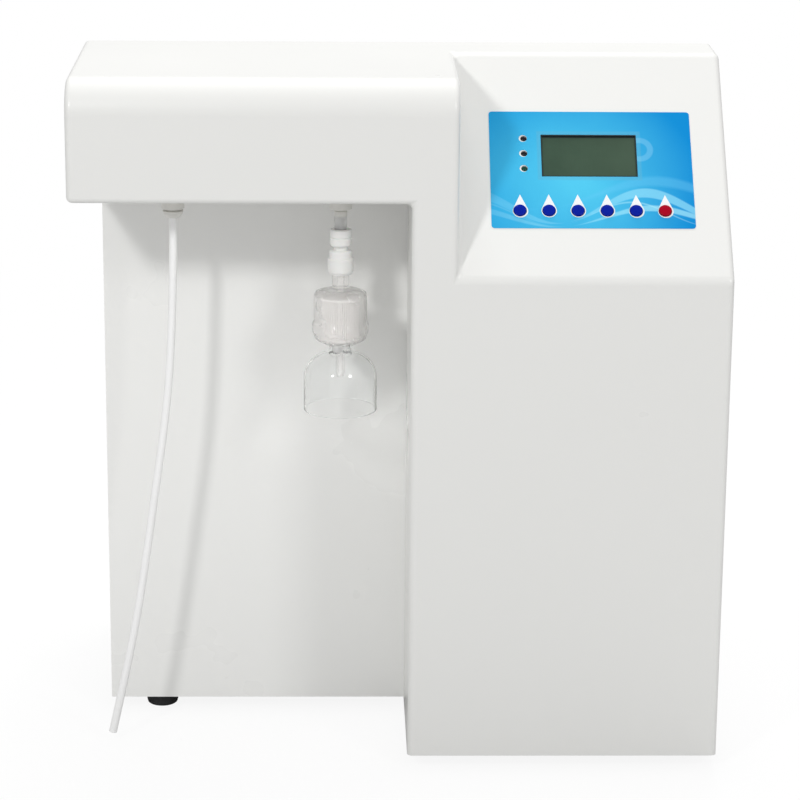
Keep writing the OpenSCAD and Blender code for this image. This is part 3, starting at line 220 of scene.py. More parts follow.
def temporary(bm):
    """An object for booleans, made from a bmesh."""
    bmesh.ops.recalc_face_normals(bm, faces=bm.faces)
    mesh = bpy.data.meshes.new("tool")
    bm.to_mesh(mesh)
    bm.free()
    ob = bpy.data.objects.new("tool", mesh)
    bpy.context.scene.collection.objects.link(ob)
    return ob


def discard(ob):
    """Removes a temporary object and its mesh."""
    spent = ob.data
    bpy.data.objects.remove(ob)
    bpy.data.meshes.remove(spent)


def taken(ob, bm=None):
    """Moves a temporary object's mesh into a bmesh."""
    if bm is None:
        bm = bmesh.new()
    bm.from_mesh(ob.data)
    discard(ob)
    return bm


def boolean(ob, tool, how):
    """Applies one exact boolean and throws the tool away."""
    m = ob.modifiers.new("cut", "BOOLEAN")
    m.operation, m.solver, m.object = how, "EXACT", tool
    graph = bpy.context.evaluated_depsgraph_get()
    mesh = bpy.data.meshes.new_from_object(ob.evaluated_get(graph))
    ob.modifiers.clear()
    old, ob.data = ob.data, mesh
    bpy.data.meshes.remove(old)
    discard(tool)


def soften(ob, width):
    """Rounds a CAD node's edges with modifiers, and leaves its mesh alone."""
    flat = ob.modifiers.new("flat", "DECIMATE")
    flat.decimate_type, flat.angle_limit = "DISSOLVE", math.radians(1.5)
    edge = ob.modifiers.new("edge", "BEVEL")
    edge.width, edge.segments = width * MM, 2
    edge.limit_method, edge.angle_limit = "ANGLE", math.radians(40)
    edge.harden_normals = True
    ob.modifiers.new("weighted", "WEIGHTED_NORMAL").keep_sharp = False


# ---------------------------------------------------------------- material helpers
def tree(name):
    """A new material, with its nodes, its links and its Principled node."""
    m = bpy.data.materials.new(name)
    m.use_nodes = True
    return m, m.node_tree.nodes, m.node_tree.links, m.node_tree.nodes["Principled BSDF"]


def noise(nd, lk, scale, detail, rough, stretch=None):
    """A noise texture over the row frame's metres, at so many waves a metre."""
    source = nd.new("ShaderNodeTexCoord").outputs["Object"]
    t = nd.new("ShaderNodeTexNoise")
    t.inputs["Scale"].default_value = scale
    t.inputs["Detail"].default_value = detail
    t.inputs["Roughness"].default_value = rough
    if stretch:
        mapping = nd.new("ShaderNodeMapping")
        mapping.inputs["Scale"].default_value = stretch
        lk.new(source, mapping.inputs["Vector"])
        source = mapping.outputs["Vector"]
    lk.new(source, t.inputs["Vector"])
    return t.outputs["Fac"]


def ranged(nd, lk, source, low, high, fmin=0.3, fmax=0.7):
    """Maps a value from fmin..fmax to low..high, clamped. Noise stays mostly within 0.3..0.7."""
    r = nd.new("ShaderNodeMapRange")
    r.inputs["From Min"].default_value, r.inputs["From Max"].default_value = fmin, fmax
    r.inputs["To Min"].default_value, r.inputs["To Max"].default_value = low, high
    lk.new(source, r.inputs["Value"])
    return r.outputs["Result"]


def bumped(nd, lk, p, height, strength, distance):
    """Gives a Principled node a bump from a noise, so many metres high."""
    b = nd.new("ShaderNodeBump")
    b.inputs["Strength"].default_value = strength
    b.inputs["Distance"].default_value = distance
    lk.new(height, b.inputs["Height"])
    lk.new(b.outputs["Normal"], p.inputs["Normal"])


def surface(name, colour, rough, spread, bump, grain, mottle, patch, stretch=None, **sockets):
    """A procedural finish.

    Its roughness varies by spread and its colour by the share mottle, in patches of so many a metre. Its
    bump, in metres, has so many grains a metre, and stretch draws the grains out.
    """
    m, nd, lk, p = tree(name)
    fine = noise(nd, lk, grain, 2, 0.5, stretch)
    broad = noise(nd, lk, patch, 4, 0.6)
    mix = nd.new("ShaderNodeMix")
    mix.data_type = "RGBA"
    mix.inputs["A"].default_value = (*[c * (1 - mottle) for c in colour], 1)
    mix.inputs["B"].default_value = (*[min(1, c * (1 + mottle)) for c in colour], 1)
    lk.new(broad, mix.inputs["Factor"])
    lk.new(mix.outputs["Result"], p.inputs["Base Color"])
    lk.new(ranged(nd, lk, broad, rough - spread, rough + spread), p.inputs["Roughness"])
    if bump:
        bumped(nd, lk, p, fine, 0.5, bump)
    for key, value in sockets.items():
        p.inputs[key.replace("_", " ")].default_value = value
    return m


def calc(nd, lk, op, a, b=None, clamp=False):
    """One Math node over sockets or numbers."""
    n = nd.new("ShaderNodeMath")
    n.operation, n.use_clamp = op, clamp
    for i, v in enumerate((a, b)):
        if v is None:
            continue
        if isinstance(v, (int, float)):
            n.inputs[i].default_value = v
        else:
            lk.new(v, n.inputs[i])
    return n.outputs[0]


def tint(nd, lk, factor, below, above):
    """Mixes two colours, each a socket or a plain triple."""
    n = nd.new("ShaderNodeMix")
    n.data_type = "RGBA"
    lk.new(factor, n.inputs["Factor"])
    for key, v in (("A", below), ("B", above)):
        if isinstance(v, tuple):
            n.inputs[key].default_value = (*v, 1)
        else:
            lk.new(v, n.inputs[key])
    return n.outputs["Result"]


def glass(name, colour, rough, ior, through, **sockets):
    """Clear or milky plastic.

    A share of the lamps' light goes straight through it, so that its shadow stays faint.
    """
    m = surface(name, colour, rough, rough * 0.3, 0.00001, 500, 0.005, 30, **sockets)
    nd, lk = m.node_tree.nodes, m.node_tree.links
    nd["Principled BSDF"].inputs["IOR"].default_value = ior
    out = nd["Material Output"].inputs["Surface"]
    shader = out.links[0].from_socket
    mix = nd.new("ShaderNodeMixShader")
    shadow = nd.new("ShaderNodeLightPath").outputs["Is Shadow Ray"]
    lk.new(calc(nd, lk, "MULTIPLY", shadow, through), mix.inputs["Fac"])
    lk.new(shader, mix.inputs[1])
    lk.new(nd.new("ShaderNodeBsdfTransparent").outputs[0], mix.inputs[2])
    lk.new(mix.outputs[0], out)
    return m


def panel_axes(nd, lk):
    """The shaded point, as an object coordinate and as its parts."""
    co = nd.new("ShaderNodeTexCoord").outputs["Object"]
    xyz = nd.new("ShaderNodeSeparateXYZ")
    lk.new(co, xyz.inputs[0])
    return co, xyz.outputs["X"], xyz.outputs["Y"]


def film_print():
    """Blue print of the panel film, on the film's own axes.

    It holds a soft light patch, plain flowing bands, a darker rim round the window and a plain ring.
    Across and rise run from 0 to 1 over the film.
    """
    m, nd, lk, p = tree("film_print")

    def plus(a, b):
        return calc(nd, lk, "ADD", a, b)

    def minus(a, b, clamp=False):
        return calc(nd, lk, "SUBTRACT", a, b, clamp)

    def times(a, b, clamp=False):
        return calc(nd, lk, "MULTIPLY", a, b, clamp)

    def size(a):
        return calc(nd, lk, "ABSOLUTE", a)

    def reach(a, b):
        return calc(nd, lk, "SQRT", plus(times(a, a), times(b, b)))

    _, x, up = panel_axes(nd, lk)
    across = times(minus(x, FILM_X * MM), 1 / MM / FILM_W)
    rise = times(minus(up, FILM_UP * MM), 1 / MM / FILM_H)

    to_right = calc(nd, lk, "POWER", calc(nd, lk, "MINIMUM", across, 1), 1.6, True)
    base = tint(nd, lk, to_right, (0.008, 0.30, 0.64), (0.001, 0.245, 0.62))
    cloud = ranged(nd, lk, noise(nd, lk, 16, 2, 0.5), 0.75, 1.05)
    away = reach(times(minus(across, 0.42), 1.75), times(minus(rise, 0.40), 1.3))
    glow = times(minus(1.10, away, True), cloud, True)
    colour = tint(nd, lk, glow, base, (0.085, 0.58, 0.83))

    def band(colour, tone, level, swing, waves, start, thick, strength, soft=0.012):
        """A wave of changing width round a level, which fades out towards the left."""
        turn = plus(times(across, waves), start)
        line = plus(times(calc(nd, lk, "SINE", turn), swing), level)
        swell = size(calc(nd, lk, "SINE", plus(times(turn, 0.5), 0.6)))
        gap = size(minus(rise, line))
        inside = calc(nd, lk, "DIVIDE", minus(times(swell, thick), gap), soft, True)
        fade = times(ranged(nd, lk, across, 0.25, 1.0, 0, 0.7), strength)
        return tint(nd, lk, times(inside, fade), colour, tone)

    colour = band(colour, (0.14, 0.58, 0.88), 0.28, 0.12, 5.4, 3.5, 0.055, 0.30, 0.03)
    colour = band(colour, (0.26, 0.70, 0.90), 0.17, 0.13, 7.2, 2.4, 0.045, 0.62)
    colour = band(colour, (0.34, 0.78, 0.92), 0.09, 0.08, 6.8, 2.5, 0.030, 0.60)
    colour = band(colour, (0.40, 0.82, 0.92), 0.12, 0.10, 8.2, 2.2, 0.012, 0.50)

    rim_width, rim_strength = 3.6, 0.5
    rim_x = size(minus(across, (WINDOW_X + WINDOW_W / 2) / FILM_W))
    rim_y = size(minus(rise, (WINDOW_UP + WINDOW_H / 2) / FILM_H))
    past = calc(nd, lk, "MAXIMUM", minus(times(rim_x, FILM_W), WINDOW_W / 2),
                minus(times(rim_y, FILM_H), WINDOW_H / 2))
    colour = tint(nd, lk, times(minus(rim_width, past, True), rim_strength), colour, (0.10, 0.42, 0.62))

    ring_x, ring_y, ring_r, ring_half, ring_soft, ring_strength = 0.742, 0.672, 0.080, 0.027, 0.010, 0.24
    ring = reach(times(minus(across, ring_x), round(FILM_W / FILM_H, 2)), minus(rise, ring_y))
    inside = calc(nd, lk, "DIVIDE", minus(ring_half, size(minus(ring, ring_r))), ring_soft, True)
    colour = tint(nd, lk, times(inside, ring_strength), colour, (0.30, 0.70, 0.92))

    lk.new(colour, p.inputs["Base Color"])
    fine = noise(nd, lk, 2600, 2, 0.5)
    lk.new(ranged(nd, lk, fine, 0.42, 0.52), p.inputs["Roughness"])
    bumped(nd, lk, p, fine, 0.4, 0.00001)
    p.inputs["Specular IOR Level"].default_value = 0.12
    return m


def screen_glass(name, colour, edge):
    """Unlit liquid crystal behind clear glass: faint character cells, a paler right side."""
    m, nd, lk, p = tree(name)
    co, x, _ = panel_axes(nd, lk)
    left = FILM_X + WINDOW_X
    across = ranged(nd, lk, x, 0, 1, left * MM, (left + WINDOW_W) * MM)
    broad = noise(nd, lk, 40, 3, 0.6)
    base = tint(nd, lk, across, colour, edge)
    speck = calc(nd, lk, "MULTIPLY", ranged(nd, lk, broad, 0, 1), 0.25)
    base = tint(nd, lk, speck, base, tuple(c * 1.5 for c in edge))
    cells = nd.new("ShaderNodeTexBrick")
    cells.offset = 0
    for key, value in (("Scale", 1), ("Brick Width", 0.0036), ("Row Height", 0.0066),
                       ("Mortar Size", 0.0003), ("Mortar Smooth", 0.4)):
        cells.inputs[key].default_value = value
    lk.new(co, cells.inputs["Vector"])
    faint = calc(nd, lk, "MULTIPLY", cells.outputs["Fac"], 0.10)
    base = tint(nd, lk, faint, base, tuple(c * 1.6 for c in colour))
    lk.new(base, p.inputs["Base Color"])
    lk.new(ranged(nd, lk, broad, 0.30, 0.42), p.inputs["Roughness"])
    p.inputs["Coat Weight"].default_value = 0.3
    p.inputs["Coat Roughness"].default_value = 0.06
    p.inputs["Specular IOR Level"].default_value = 0.25
    return m


# ---------------------------------------------------------------- materials
# name, colour, roughness, its spread, bump in metres, grains a metre, mottle, patches a metre, stretch
shell_white = surface("moulding_white", (0.82, 0.82, 0.80), 0.3, 0.03, 0.000015, 420, 0.006, 5,
                      Coat_Weight=0.1, Coat_Roughness=0.12)
# The bay panel's white is paler than the moulding's, partly as painted light that stands in for the
# brighter light on the bay.
panel_white = surface("bay_white", (0.93, 0.93, 0.91), 0.3, 0.04, 0.00002, 380, 0.008, 6,
                      Coat_Weight=0.2, Coat_Roughness=0.12)
powder_white = surface("powder_white", (0.74, 0.74, 0.72), 0.42, 0.05, 0.00005, 1100, 0.01, 9)
galvanised = surface("galvanised", (0.56, 0.57, 0.58), 0.38, 0.12, 0.00002, 500, 0.12, 60, Metallic=1.0)
brushed = surface("brushed_steel", (0.62, 0.62, 0.63), 0.3, 0.08, 0.00003, 900, 0.05, 40, (1, 1, 12),
                  Metallic=1.0)
screw_steel = surface("screw_steel", (0.5, 0.5, 0.51), 0.28, 0.08, 0.00002, 1400, 0.05, 90, Metallic=1.0)
rubber = surface("rubber_black", (0.018, 0.018, 0.019), 0.62, 0.08, 0.00006, 900, 0.12, 120)
works_black = surface("works_black", (0.025, 0.026, 0.028), 0.45, 0.08, 0.00004, 700, 0.1, 60)
inlet_black = surface("inlet_black", (0.02, 0.02, 0.021), 0.35, 0.06, 0.00004, 1300, 0.08, 80)
fitting_white = surface("fitting_white", (0.86, 0.86, 0.84), 0.32, 0.05, 0.00002, 800, 0.012, 50,
                        Subsurface_Weight=0.05, Subsurface_Scale=0.001)
fitting_cream = surface("fitting_cream", (0.78, 0.77, 0.73), 0.36, 0.05, 0.00002, 800, 0.015, 50)
board_green = surface("board_green", (0.02, 0.12, 0.05), 0.3, 0.06, 0.00004, 500, 0.2, 90)
paper = surface("filter_media", (0.93, 0.915, 0.895), 0.75, 0.05, 0.0001, 1500, 0.03, 120)
quartz = surface("lamp_glass", (0.9, 0.9, 0.92), 0.1, 0.02, 0, 800, 0.01, 40, Coat_Weight=0.5)
tube_grey = surface("inner_tube", (0.78, 0.8, 0.8), 0.28, 0.05, 0.00002, 600, 0.02, 30,
                    Subsurface_Weight=0.2, Subsurface_Scale=0.003)
seal_grey = surface("seal_grey", (0.52, 0.52, 0.51), 0.5, 0.05, 0.00002, 900, 0.04, 80)
cable = surface("cable_black", (0.02, 0.02, 0.022), 0.5, 0.06, 0.00004, 500, 0.1, 60)
cap_blue = surface("cap_blue", (0.0005, 0.013, 0.31), 0.3, 0.05, 0.00002, 1400, 0.06, 200,
                   Specular_IOR_Level=0.1)
cap_red = surface("cap_red", (0.37, 0.0003, 0.014), 0.3, 0.05, 0.00002, 1400, 0.06, 200,
                  Specular_IOR_Level=0.1)
print_white = surface("print_white", (0.86, 0.87, 0.88), 0.4, 0.04, 0.00001, 1500, 0.01, 60)
# Dark mask of the display. It also paints the shade along the window's top and right edges and on its
# walls.
mask_and_painted_shade = surface("mask_and_painted_shade", (0.012, 0.020, 0.020), 0.35, 0.04, 0, 800, 0.05, 60,
                       Coat_Weight=0.3, Coat_Roughness=0.06)
display_glass = screen_glass("display_glass", (0.028, 0.062, 0.038), (0.044, 0.080, 0.050))
lamp_dark = surface("lamp_dark", (0.008, 0.006, 0.010), 0.25, 0.04, 0, 800, 0.1, 200,
                    Specular_IOR_Level=0.25)
lamp_green = surface("lamp_green", (0.004, 0.055, 0.036), 0.25, 0.04, 0, 800, 0.1, 200,
                     Specular_IOR_Level=0.25)
hose_plastic = surface("hose_plastic", (0.99, 0.99, 0.985), 0.45, 0.03, 0, 300, 0.005, 20,
                       Coat_Weight=0.4, Coat_Roughness=0.35, Specular_IOR_Level=0.9)
# name, colour, roughness, index of refraction, share of light that casts no shadow
clear_plastic = glass("clear_plastic", (0.985, 0.99, 0.99), 0.02, 1.1, 0.78,
                      Transmission_Weight=1.0, Coat_Weight=0.6, Coat_Roughness=0.03)
milky_plastic = glass("milky_plastic", (0.99, 0.982, 0.975), 0.25, 1.1, 0.3,
                      Transmission_Weight=0.82, Coat_Weight=0.4, Coat_Roughness=0.1)
frosted_plastic = glass("frosted_plastic", (0.97, 0.97, 0.965), 0.3, 1.15, 0.6,
                        Transmission_Weight=0.7, Coat_Weight=0.3)


# ---------------------------------------------------------------- dispensing tube
def smooth_path(points, steps):
    """Catmull-Rom curve through given points."""
    q = [2 * points[0] - points[1], *points, 2 * points[-1] - points[-2]]
    out = []
    for i in range(1, len(points)):
        a, b, c, d = q[i - 1:i + 3]
        for k in range(steps):
            t = k / steps
            out.append(0.5 * (2 * b + (c - a) * t + (2 * a - 5 * b + 4 * c - d) * t * t
                              + (3 * b - a - 3 * c + d) * t ** 3))
    return out + [points[-1]]


def tube(bm, path, outer, inner, sides):
    """A hollow tube along a path of row-frame points, open and cut square at both ends."""
    n = len(path)
    heads = [(path[min(i + 1, n - 1)] - path[max(i - 1, 0)]).normalized() for i in range(n)]
    angles = [math.tau * k / sides for k in range(sides)]
    side = Vector((1, 0, 0))
    loops = []
    for p, h in zip(path, heads):
        side = (side - h * side.dot(h)).normalized()
        other = h.cross(side)
        around = [side * math.cos(a) + other * math.sin(a) for a in angles]
        loops.append([[bm.verts.new(p + way * (r * MM)) for way in around] for r in (outer, inner)])
    for (a, c), (b, d) in zip(loops, loops[1:]):
        for k in range(sides):
            j = (k + 1) % sides
            bm.faces.new((a[k], a[j], b[j], b[k]))
            bm.faces.new((c[j], c[k], d[k], d[j]))
    for a, c in (loops[0], loops[-1]):
        for k in range(sides):
            j = (k + 1) % sides
            bm.faces.new((a[k], a[j], c[j], c[k]))
    return bm


# Points down the hanging tube: how far it has swung from its outlet along x, and the case height.
HOSE = [case(TUBE_X + shift, OUTLET_D, z) for shift, z in (
    (0, 418), (0, 400), (-0.5, 380), (-1.2, 358), (-2.1, 335), (-3.4, 310), (-5.3, 285), (-8, 260),
    (-11.3, 235), (-15, 210), (-18.7, 185), (-22.3, 160), (-26, 135), (-30, 110), (-34.5, 85),
    (-39.5, 60), (-44.9, 35), (-50, 12), (-53.6, -4))]
hose_path = smooth_path(HOSE, 4)
hose = add("dispensing_hose", tube(bmesh.new(), hose_path, HOSE_OUTER_R, HOSE_INNER_R, 24), "case",
           [hose_plastic], 40, ["dispense_tube"])


# ---------------------------------------------------------------- moulded front
WINDOW_LEFT, WINDOW_LOW = FILM_X + WINDOW_X, FILM_UP + WINDOW_UP
WINDOW = rectangle(WINDOW_LEFT, WINDOW_LOW, WINDOW_LEFT + WINDOW_W, WINDOW_LOW + WINDOW_H)
BUTTON_SPOTS = [(FILM_X + BUTTON_X + i * BUTTON_PITCH, FILM_UP + BUTTON_UP) for i in range(6)]
LAMP_SPOTS = [(FILM_X + LAMP_X, FILM_UP + FILM_H - LAMP_DOWN - i * LAMP_PITCH) for i in range(3)]


def brow(r):
    """The rounded top front edge, as (depth, height) points, at radius r about the same centre."""
    inset = BROW_R - r
    return [(inset + r - r * math.cos(math.radians(a)), CASE_H - BROW_R + r * math.sin(math.radians(a)))
            for a in range(0, 91, 6)]


def head_outline(inset, low):
    """Side outline of the head, drawn in by inset, down to a height."""
    back = FRONT_D - inset
    return [(inset, low)] + brow(BROW_R - inset) + [(back, CASE_H - inset), (back, low)]


def slope_outline(inset, low):
    """Side outline of the sloped column, drawn in by inset, down to a height."""
    t = math.tan(math.radians(SLOPE_ANGLE))
    lift = inset / math.cos(math.radians(SLOPE_ANGLE))
    top = CASE_H - inset
    return [(inset, low), (inset, SLOPE_BASE + inset * t - lift), ((top - SLOPE_BASE + lift) / t, top),
            (FRONT_D - inset, top), (FRONT_D - inset, low)]


def along(outline, x0, x1):
    """A temporary bar with a side outline, from x0 to x1."""
    bm = bmesh.new()
    prism(bm, outline, x0, x1, SIDEWAYS)
    return temporary(bm)


def block(low, high):
    """A temporary block between two case points."""
    bm = bmesh.new()
    box(bm, low, high)
    return temporary(bm)


def panel_holes(bm, place, low, high, lamp_shift, lamp_r, lamp_sides):
    """Tools for the window, the six caps and the three lamps, standing on the panel."""
    prism(bm, WINDOW, low, high, place)
    for x, u in BUTTON_SPOTS:
        cylinder(bm, place @ spot(x, u), CAP_HOLE_R, low, high)
    for x, u in LAMP_SPOTS:
        cylinder(bm, place @ spot(x - lamp_shift, u), lamp_r, low, high, lamp_sides)


def front_moulding():
    """Head, column and slope in one shell with rounded edges, open at the back, bottom and bay."""
    ob = along(head_outline(0, HEAD_Z), 0, COLUMN_X)
    boolean(ob, along(head_outline(0, 0), COLUMN_X, STRIP_X), "UNION")
    boolean(ob, along(slope_outline(0, 0), STRIP_X, CASE_W), "UNION")
    bm = bmesh.new()
    bm.from_mesh(ob.data)
    bmesh.ops.remove_doubles(bm, verts=bm.verts, dist=1e-6)
    bmesh.ops.dissolve_limit(bm, angle_limit=math.radians(1), verts=bm.verts, edges=bm.edges)
    back, ground = case(0, FRONT_D, 0).y, case(0, 0, 0).z
    edges = [e for e in bm.edges if len(e.link_faces) == 2 and e.calc_face_angle() > math.radians(25)
             and not all(abs(v.co.y - back) < 1e-6 for v in e.verts)
             and not all(abs(v.co.z - ground) < 1e-6 for v in e.verts)]
    bmesh.ops.bevel(bm, geom=edges, offset=FRONT_EDGE * MM, offset_type="OFFSET", segments=6,
                    profile=0.5, affect="EDGES", clamp_overlap=False, loop_slide=True)
    bmesh.ops.recalc_face_normals(bm, faces=bm.faces)
    bm.to_mesh(ob.data)
    bm.free()
    inner_x, inner_x2 = COLUMN_X + SHELL, STRIP_X - SHELL
    boolean(ob, along(head_outline(SHELL, HEAD_Z + SHELL), SHELL, inner_x2), "DIFFERENCE")
    boolean(ob, along(head_outline(SHELL, -1), inner_x, inner_x2), "DIFFERENCE")
    boolean(ob, along(slope_outline(SHELL, -1), inner_x, CASE_W - SHELL), "DIFFERENCE")
    left, right, roof = COVER_X - SEAT_GAP, COVER_X2 + SEAT_GAP, ROOF_Z + SEAT_GAP
    boolean(ob, block((left, BAY_D, -1), (inner_x, FRONT_D + 1, HEAD_Z + SHELL)), "DIFFERENCE")
    boolean(ob, block((left, FRONT_D - SHELL - 1, -1), (right, FRONT_D + 1, roof)), "DIFFERENCE")
    bm = bmesh.new()
    for x in (TUBE_X, FILTER_X):
        cylinder(bm, standing(x, OUTLET_D), OUTLET_HOLE_R, HEAD_Z - 1, HEAD_Z + SHELL + 1)
    panel_holes(bm, SLOPE, -SHELL - 1, 1, 0, LAMP_HOLE_R, 32)
    boolean(ob, temporary(bm), "DIFFERENCE")
    add("front_moulding", taken(ob), "case", [shell_white], 24, ["fascia"], weighted=True)


front_moulding()


# ---------------------------------------------------------------- control panel
def film_sheet():
    """The film with rounded corners, cut out round the window, the caps and the lamps."""
    right, top, glue = FILM_X + FILM_W, FILM_UP + FILM_H, 0.005
    outline = []
    for i, (x, u) in enumerate(rectangle(FILM_X, FILM_UP, right, top)):
        cx = x + (FILM_CORNER if i in (0, 3) else -FILM_CORNER)
        cu = u + (FILM_CORNER if i in (0, 1) else -FILM_CORNER)
        for k in range(7):
            a = math.radians(180 + 90 * i + 15 * k)
            outline.append((cx + FILM_CORNER * math.cos(a), cu + FILM_CORNER * math.sin(a)))
    bm = bmesh.new()
    prism(bm, outline, glue, FILM_T, PANEL)
    ob = temporary(bm)
    bm = bmesh.new()
    panel_holes(bm, PANEL, -1, 2, LAMP_PRINT_SHIFT, LAMP_PRINT_R, 40)
    boolean(ob, temporary(bm), "DIFFERENCE")
    add("film_sheet", taken(ob), "case", [film_print()], 0, ["panel_film"], place=SLOPE)


def drops():
    """White drop shapes printed round the caps, a little out of register with them. Under the first,
    fifth and sixth caps the print is shifted further down and to the right, and the wider white edge
    there is a painted glint.
    """
    r, tip, hole, ink, n = 5.9, 14.6, 5.2, 0.03, 96
    lean = math.acos(r / tip)
    bm = bmesh.new()
    for i, (x, u) in enumerate(BUTTON_SPOTS):
        # The larger shift under three caps paints a glint at their lower right.
        register_and_glint_shift = 0.35 if i in (0, 4, 5) else 0.1
        rows = []
        for k in range(n):
            a = math.tau * k / n
            turn = min(a, math.tau - a)
            reach = r / math.cos(lean - turn) if turn < lean else r
            way = Vector((math.sin(a), math.cos(a)))
            inner = Vector((x, u)) + way * hole
            outer = Vector((x + register_and_glint_shift, u - register_and_glint_shift)) + way * reach
            section = ((inner, FILM_T), (outer, FILM_T), (outer, FILM_T + ink), (inner, FILM_T + ink))
            rows.append([bm.verts.new(Vector((p.x, p.y, z)) * MM) for p, z in section])
        for k in range(n):
            a, b = rows[k], rows[(k + 1) % n]
            for j in range(4):
                bm.faces.new((a[j], a[(j + 1) % 4], b[(j + 1) % 4], b[j]))
    add("printed_drops", bm, "case", [print_white], 0, (), place=SLOPE)


def display():
    """The window's block: olive glass in a dark mask. The mask is wider along the top and the right as
    painted shade from the window's edges, and it lines the window's walls as painted shade of the recess.
    """
    x0, u0 = WINDOW_LEFT + SEAT_GAP, WINDOW_LOW + SEAT_GAP
    x1, u1 = x0 + WINDOW_W - 2 * SEAT_GAP, u0 + WINDOW_H - 2 * SEAT_GAP
    glass_slot, mask_and_shade_slot, glass_top, wall = 0, 1, -1.2, 0.5
    # The extra width of the dark mask along the top and the right is painted shade from the window's
    # edges.
    mask, painted_shade_top, painted_shade_right, bead = 0.9, 1.6, 0.6, 0.2
    bm = bmesh.new()
    top = prism(bm, rectangle(x0, u0, x1, u1), -SHELL, glass_top, PANEL, mask_and_shade_slot)[1]
    edges = list(top.edges)
    bmesh.ops.inset_individual(bm, faces=[top], thickness=mask * MM)
    top.material_index = glass_slot
    for v in top.verts:
        if v.co.y > (u0 + u1) / 2 * MM:
            v.co.y -= painted_shade_top * MM
        if v.co.x > (x0 + x1) / 2 * MM:
            v.co.x -= painted_shade_right * MM
    bmesh.ops.bevel(bm, geom=edges, offset=bead * MM, segments=2, profile=0.5, affect="EDGES")
    # Dark strips lining the window's four walls: painted shade of the recess.
    for side in ((x0, u1 - wall, x1, u1), (x0, u0, x1, u0 + wall), (x0, u0, x0 + wall, u1),
                 (x1 - wall, u0, x1, u1)):
        prism(bm, rectangle(*side), glass_top - 0.1, FILM_T - 0.1, PANEL, mask_and_shade_slot)
    add("display_window", bm, "case", [display_glass, mask_and_painted_shade], 20, ["display_lens"],
        place=SLOPE)


def caps():
    """Push caps with a domed top, a collar under the slope and a stem to the switch."""
    outline = fillet([
        (0, -14.3, 0), (1.7, -14.3, 0.2), (1.7, -11.4, 0), (3, -11.4, 0.2), (3, -4.5, 0),
        (6.3, -4.5, 0.2), (6.3, -3.3, 0.2), (4.8, -3.3, 0), (4.8, 1.75, 0.75), (2.4, 1.98, 1.5),
        (0, 2.0, 0)], 5)
    for i, (x, u) in enumerate(BUTTON_SPOTS):
        mat, slot = (cap_red, "cap_red") if i == 5 else (cap_blue, "cap_blue")
        add(f"cap_{i + 1}", lathe(bmesh.new(), outline, spot(x, u)), f"button_{i + 1}", [mat], 50,
            [f"button_{i + 1}"], place=SLOPE)


def lamps():
    """Status lamps: long pegs with domed ends, two dark and the lowest green."""
    r, back, shoulder, rise, front = 2.4, -17, -1.4, 1.6, 0.2
    turns = [math.radians(a) for a in range(0, 90, 9)]
    dome = [(r * math.cos(a), shoulder + rise * math.sin(a)) for a in turns]
    bm = bmesh.new()
    for i, (x, u) in enumerate(LAMP_SPOTS):
        lathe(bm, [(0, back), (r, back)] + dome + [(0, front)], spot(x, u), segments=32,
              mat=1 if i == 2 else 0)
    add("lamp_domes", bm, "case", [lamp_dark, lamp_green], 40, ["status_lamps"], place=SLOPE)


film_sheet()
drops()
display()
caps()
lamps()


# ---------------------------------------------------------------- outlets and filter chain
def turned(name, corners, x, body, mat, replaces, closed=True, segments=64, smooth=40):
    """A turned piece under an outlet, from (radius, case height, fillet) corners."""
    bm = lathe(bmesh.new(), fillet(corners, 5), standing(x, OUTLET_D), closed, segments)
    add(name, bm, body, [mat], smooth, replaces)


# Both outlets share their flange and neck.
NECK = [(2, 459.5, 0), (6, 459.5, 0.5), (6, 440.4, 0), (9.5, 440.4, 0.3), (9.5, 437.5, 0.6),
        (8.8, 437.5, 0.3), (8.8, 424.8, 0.8)]
turned("tube_outlet_collar", NECK + [
    (5.6, 424.8, 0.2), (5.6, 423.3, 0.2), (8.2, 423.3, 0.6), (7.4, 420.8, 0.8), (5.3, 418.1, 0.4),
    (2, 418.1, 0)], TUBE_X, "case", fitting_cream, ["tube_outlet_fitting"])
turned("filter_outlet_collar", NECK + [
    (3.6, 424.8, 0.2), (3.6, 423.3, 0.2), (5.0, 423.3, 0.4), (5.0, 419.1, 0.4),
    (2, 419.1, 0)], FILTER_X, "case", fitting_cream, ["filter_outlet_fitting"])
turned("stub_sleeve", [
    (4.75, 419, 0), (4.75, 405.1, 0), (3.2, 405.1, 0), (3.2, 419, 0)],
    FILTER_X, "case", frosted_plastic, ["filter_stub"])
turned("stub_seal", [
    (0, 417, 0), (2.3, 417, 0.4), (2.3, 410.5, 0.4), (0, 410.5, 0)],
    FILTER_X, "case", seal_grey, (), closed=False)
turned("union_ring", [
    (4.8, 409, 0), (8.4, 409, 0.9), (8.5, 403.2, 0.3), (7.9, 403, 0.1), (7.9, 402.2, 0.1),
    (8.5, 402, 0.3), (8.2, 397.2, 0.5), (7.4, 396, 0.4), (5.55, 396, 0), (5.55, 404.9, 0),
    (4.8, 404.9, 0)],
    FILTER_X, "case", fitting_white, ["union_nut"])
turned("adapter_body", [
    (5, 384, 0), (5, 374, 0), (8.6, 374, 0.2), (8.8, 375.4, 0.2), (9.9, 375.8, 0.3), (10, 386, 0.5),
    (8.8, 387, 0.3), (8.8, 391.4, 0.5), (8.1, 392.4, 0.4), (5.5, 392.6, 0.2), (5.4, 394, 0.3),
    (5.4, 403, 0.3), (0, 403, 0), (0, 384, 0)],
    FILTER_X, "final_filter", fitting_white, ["filter_adapter"], closed=False)
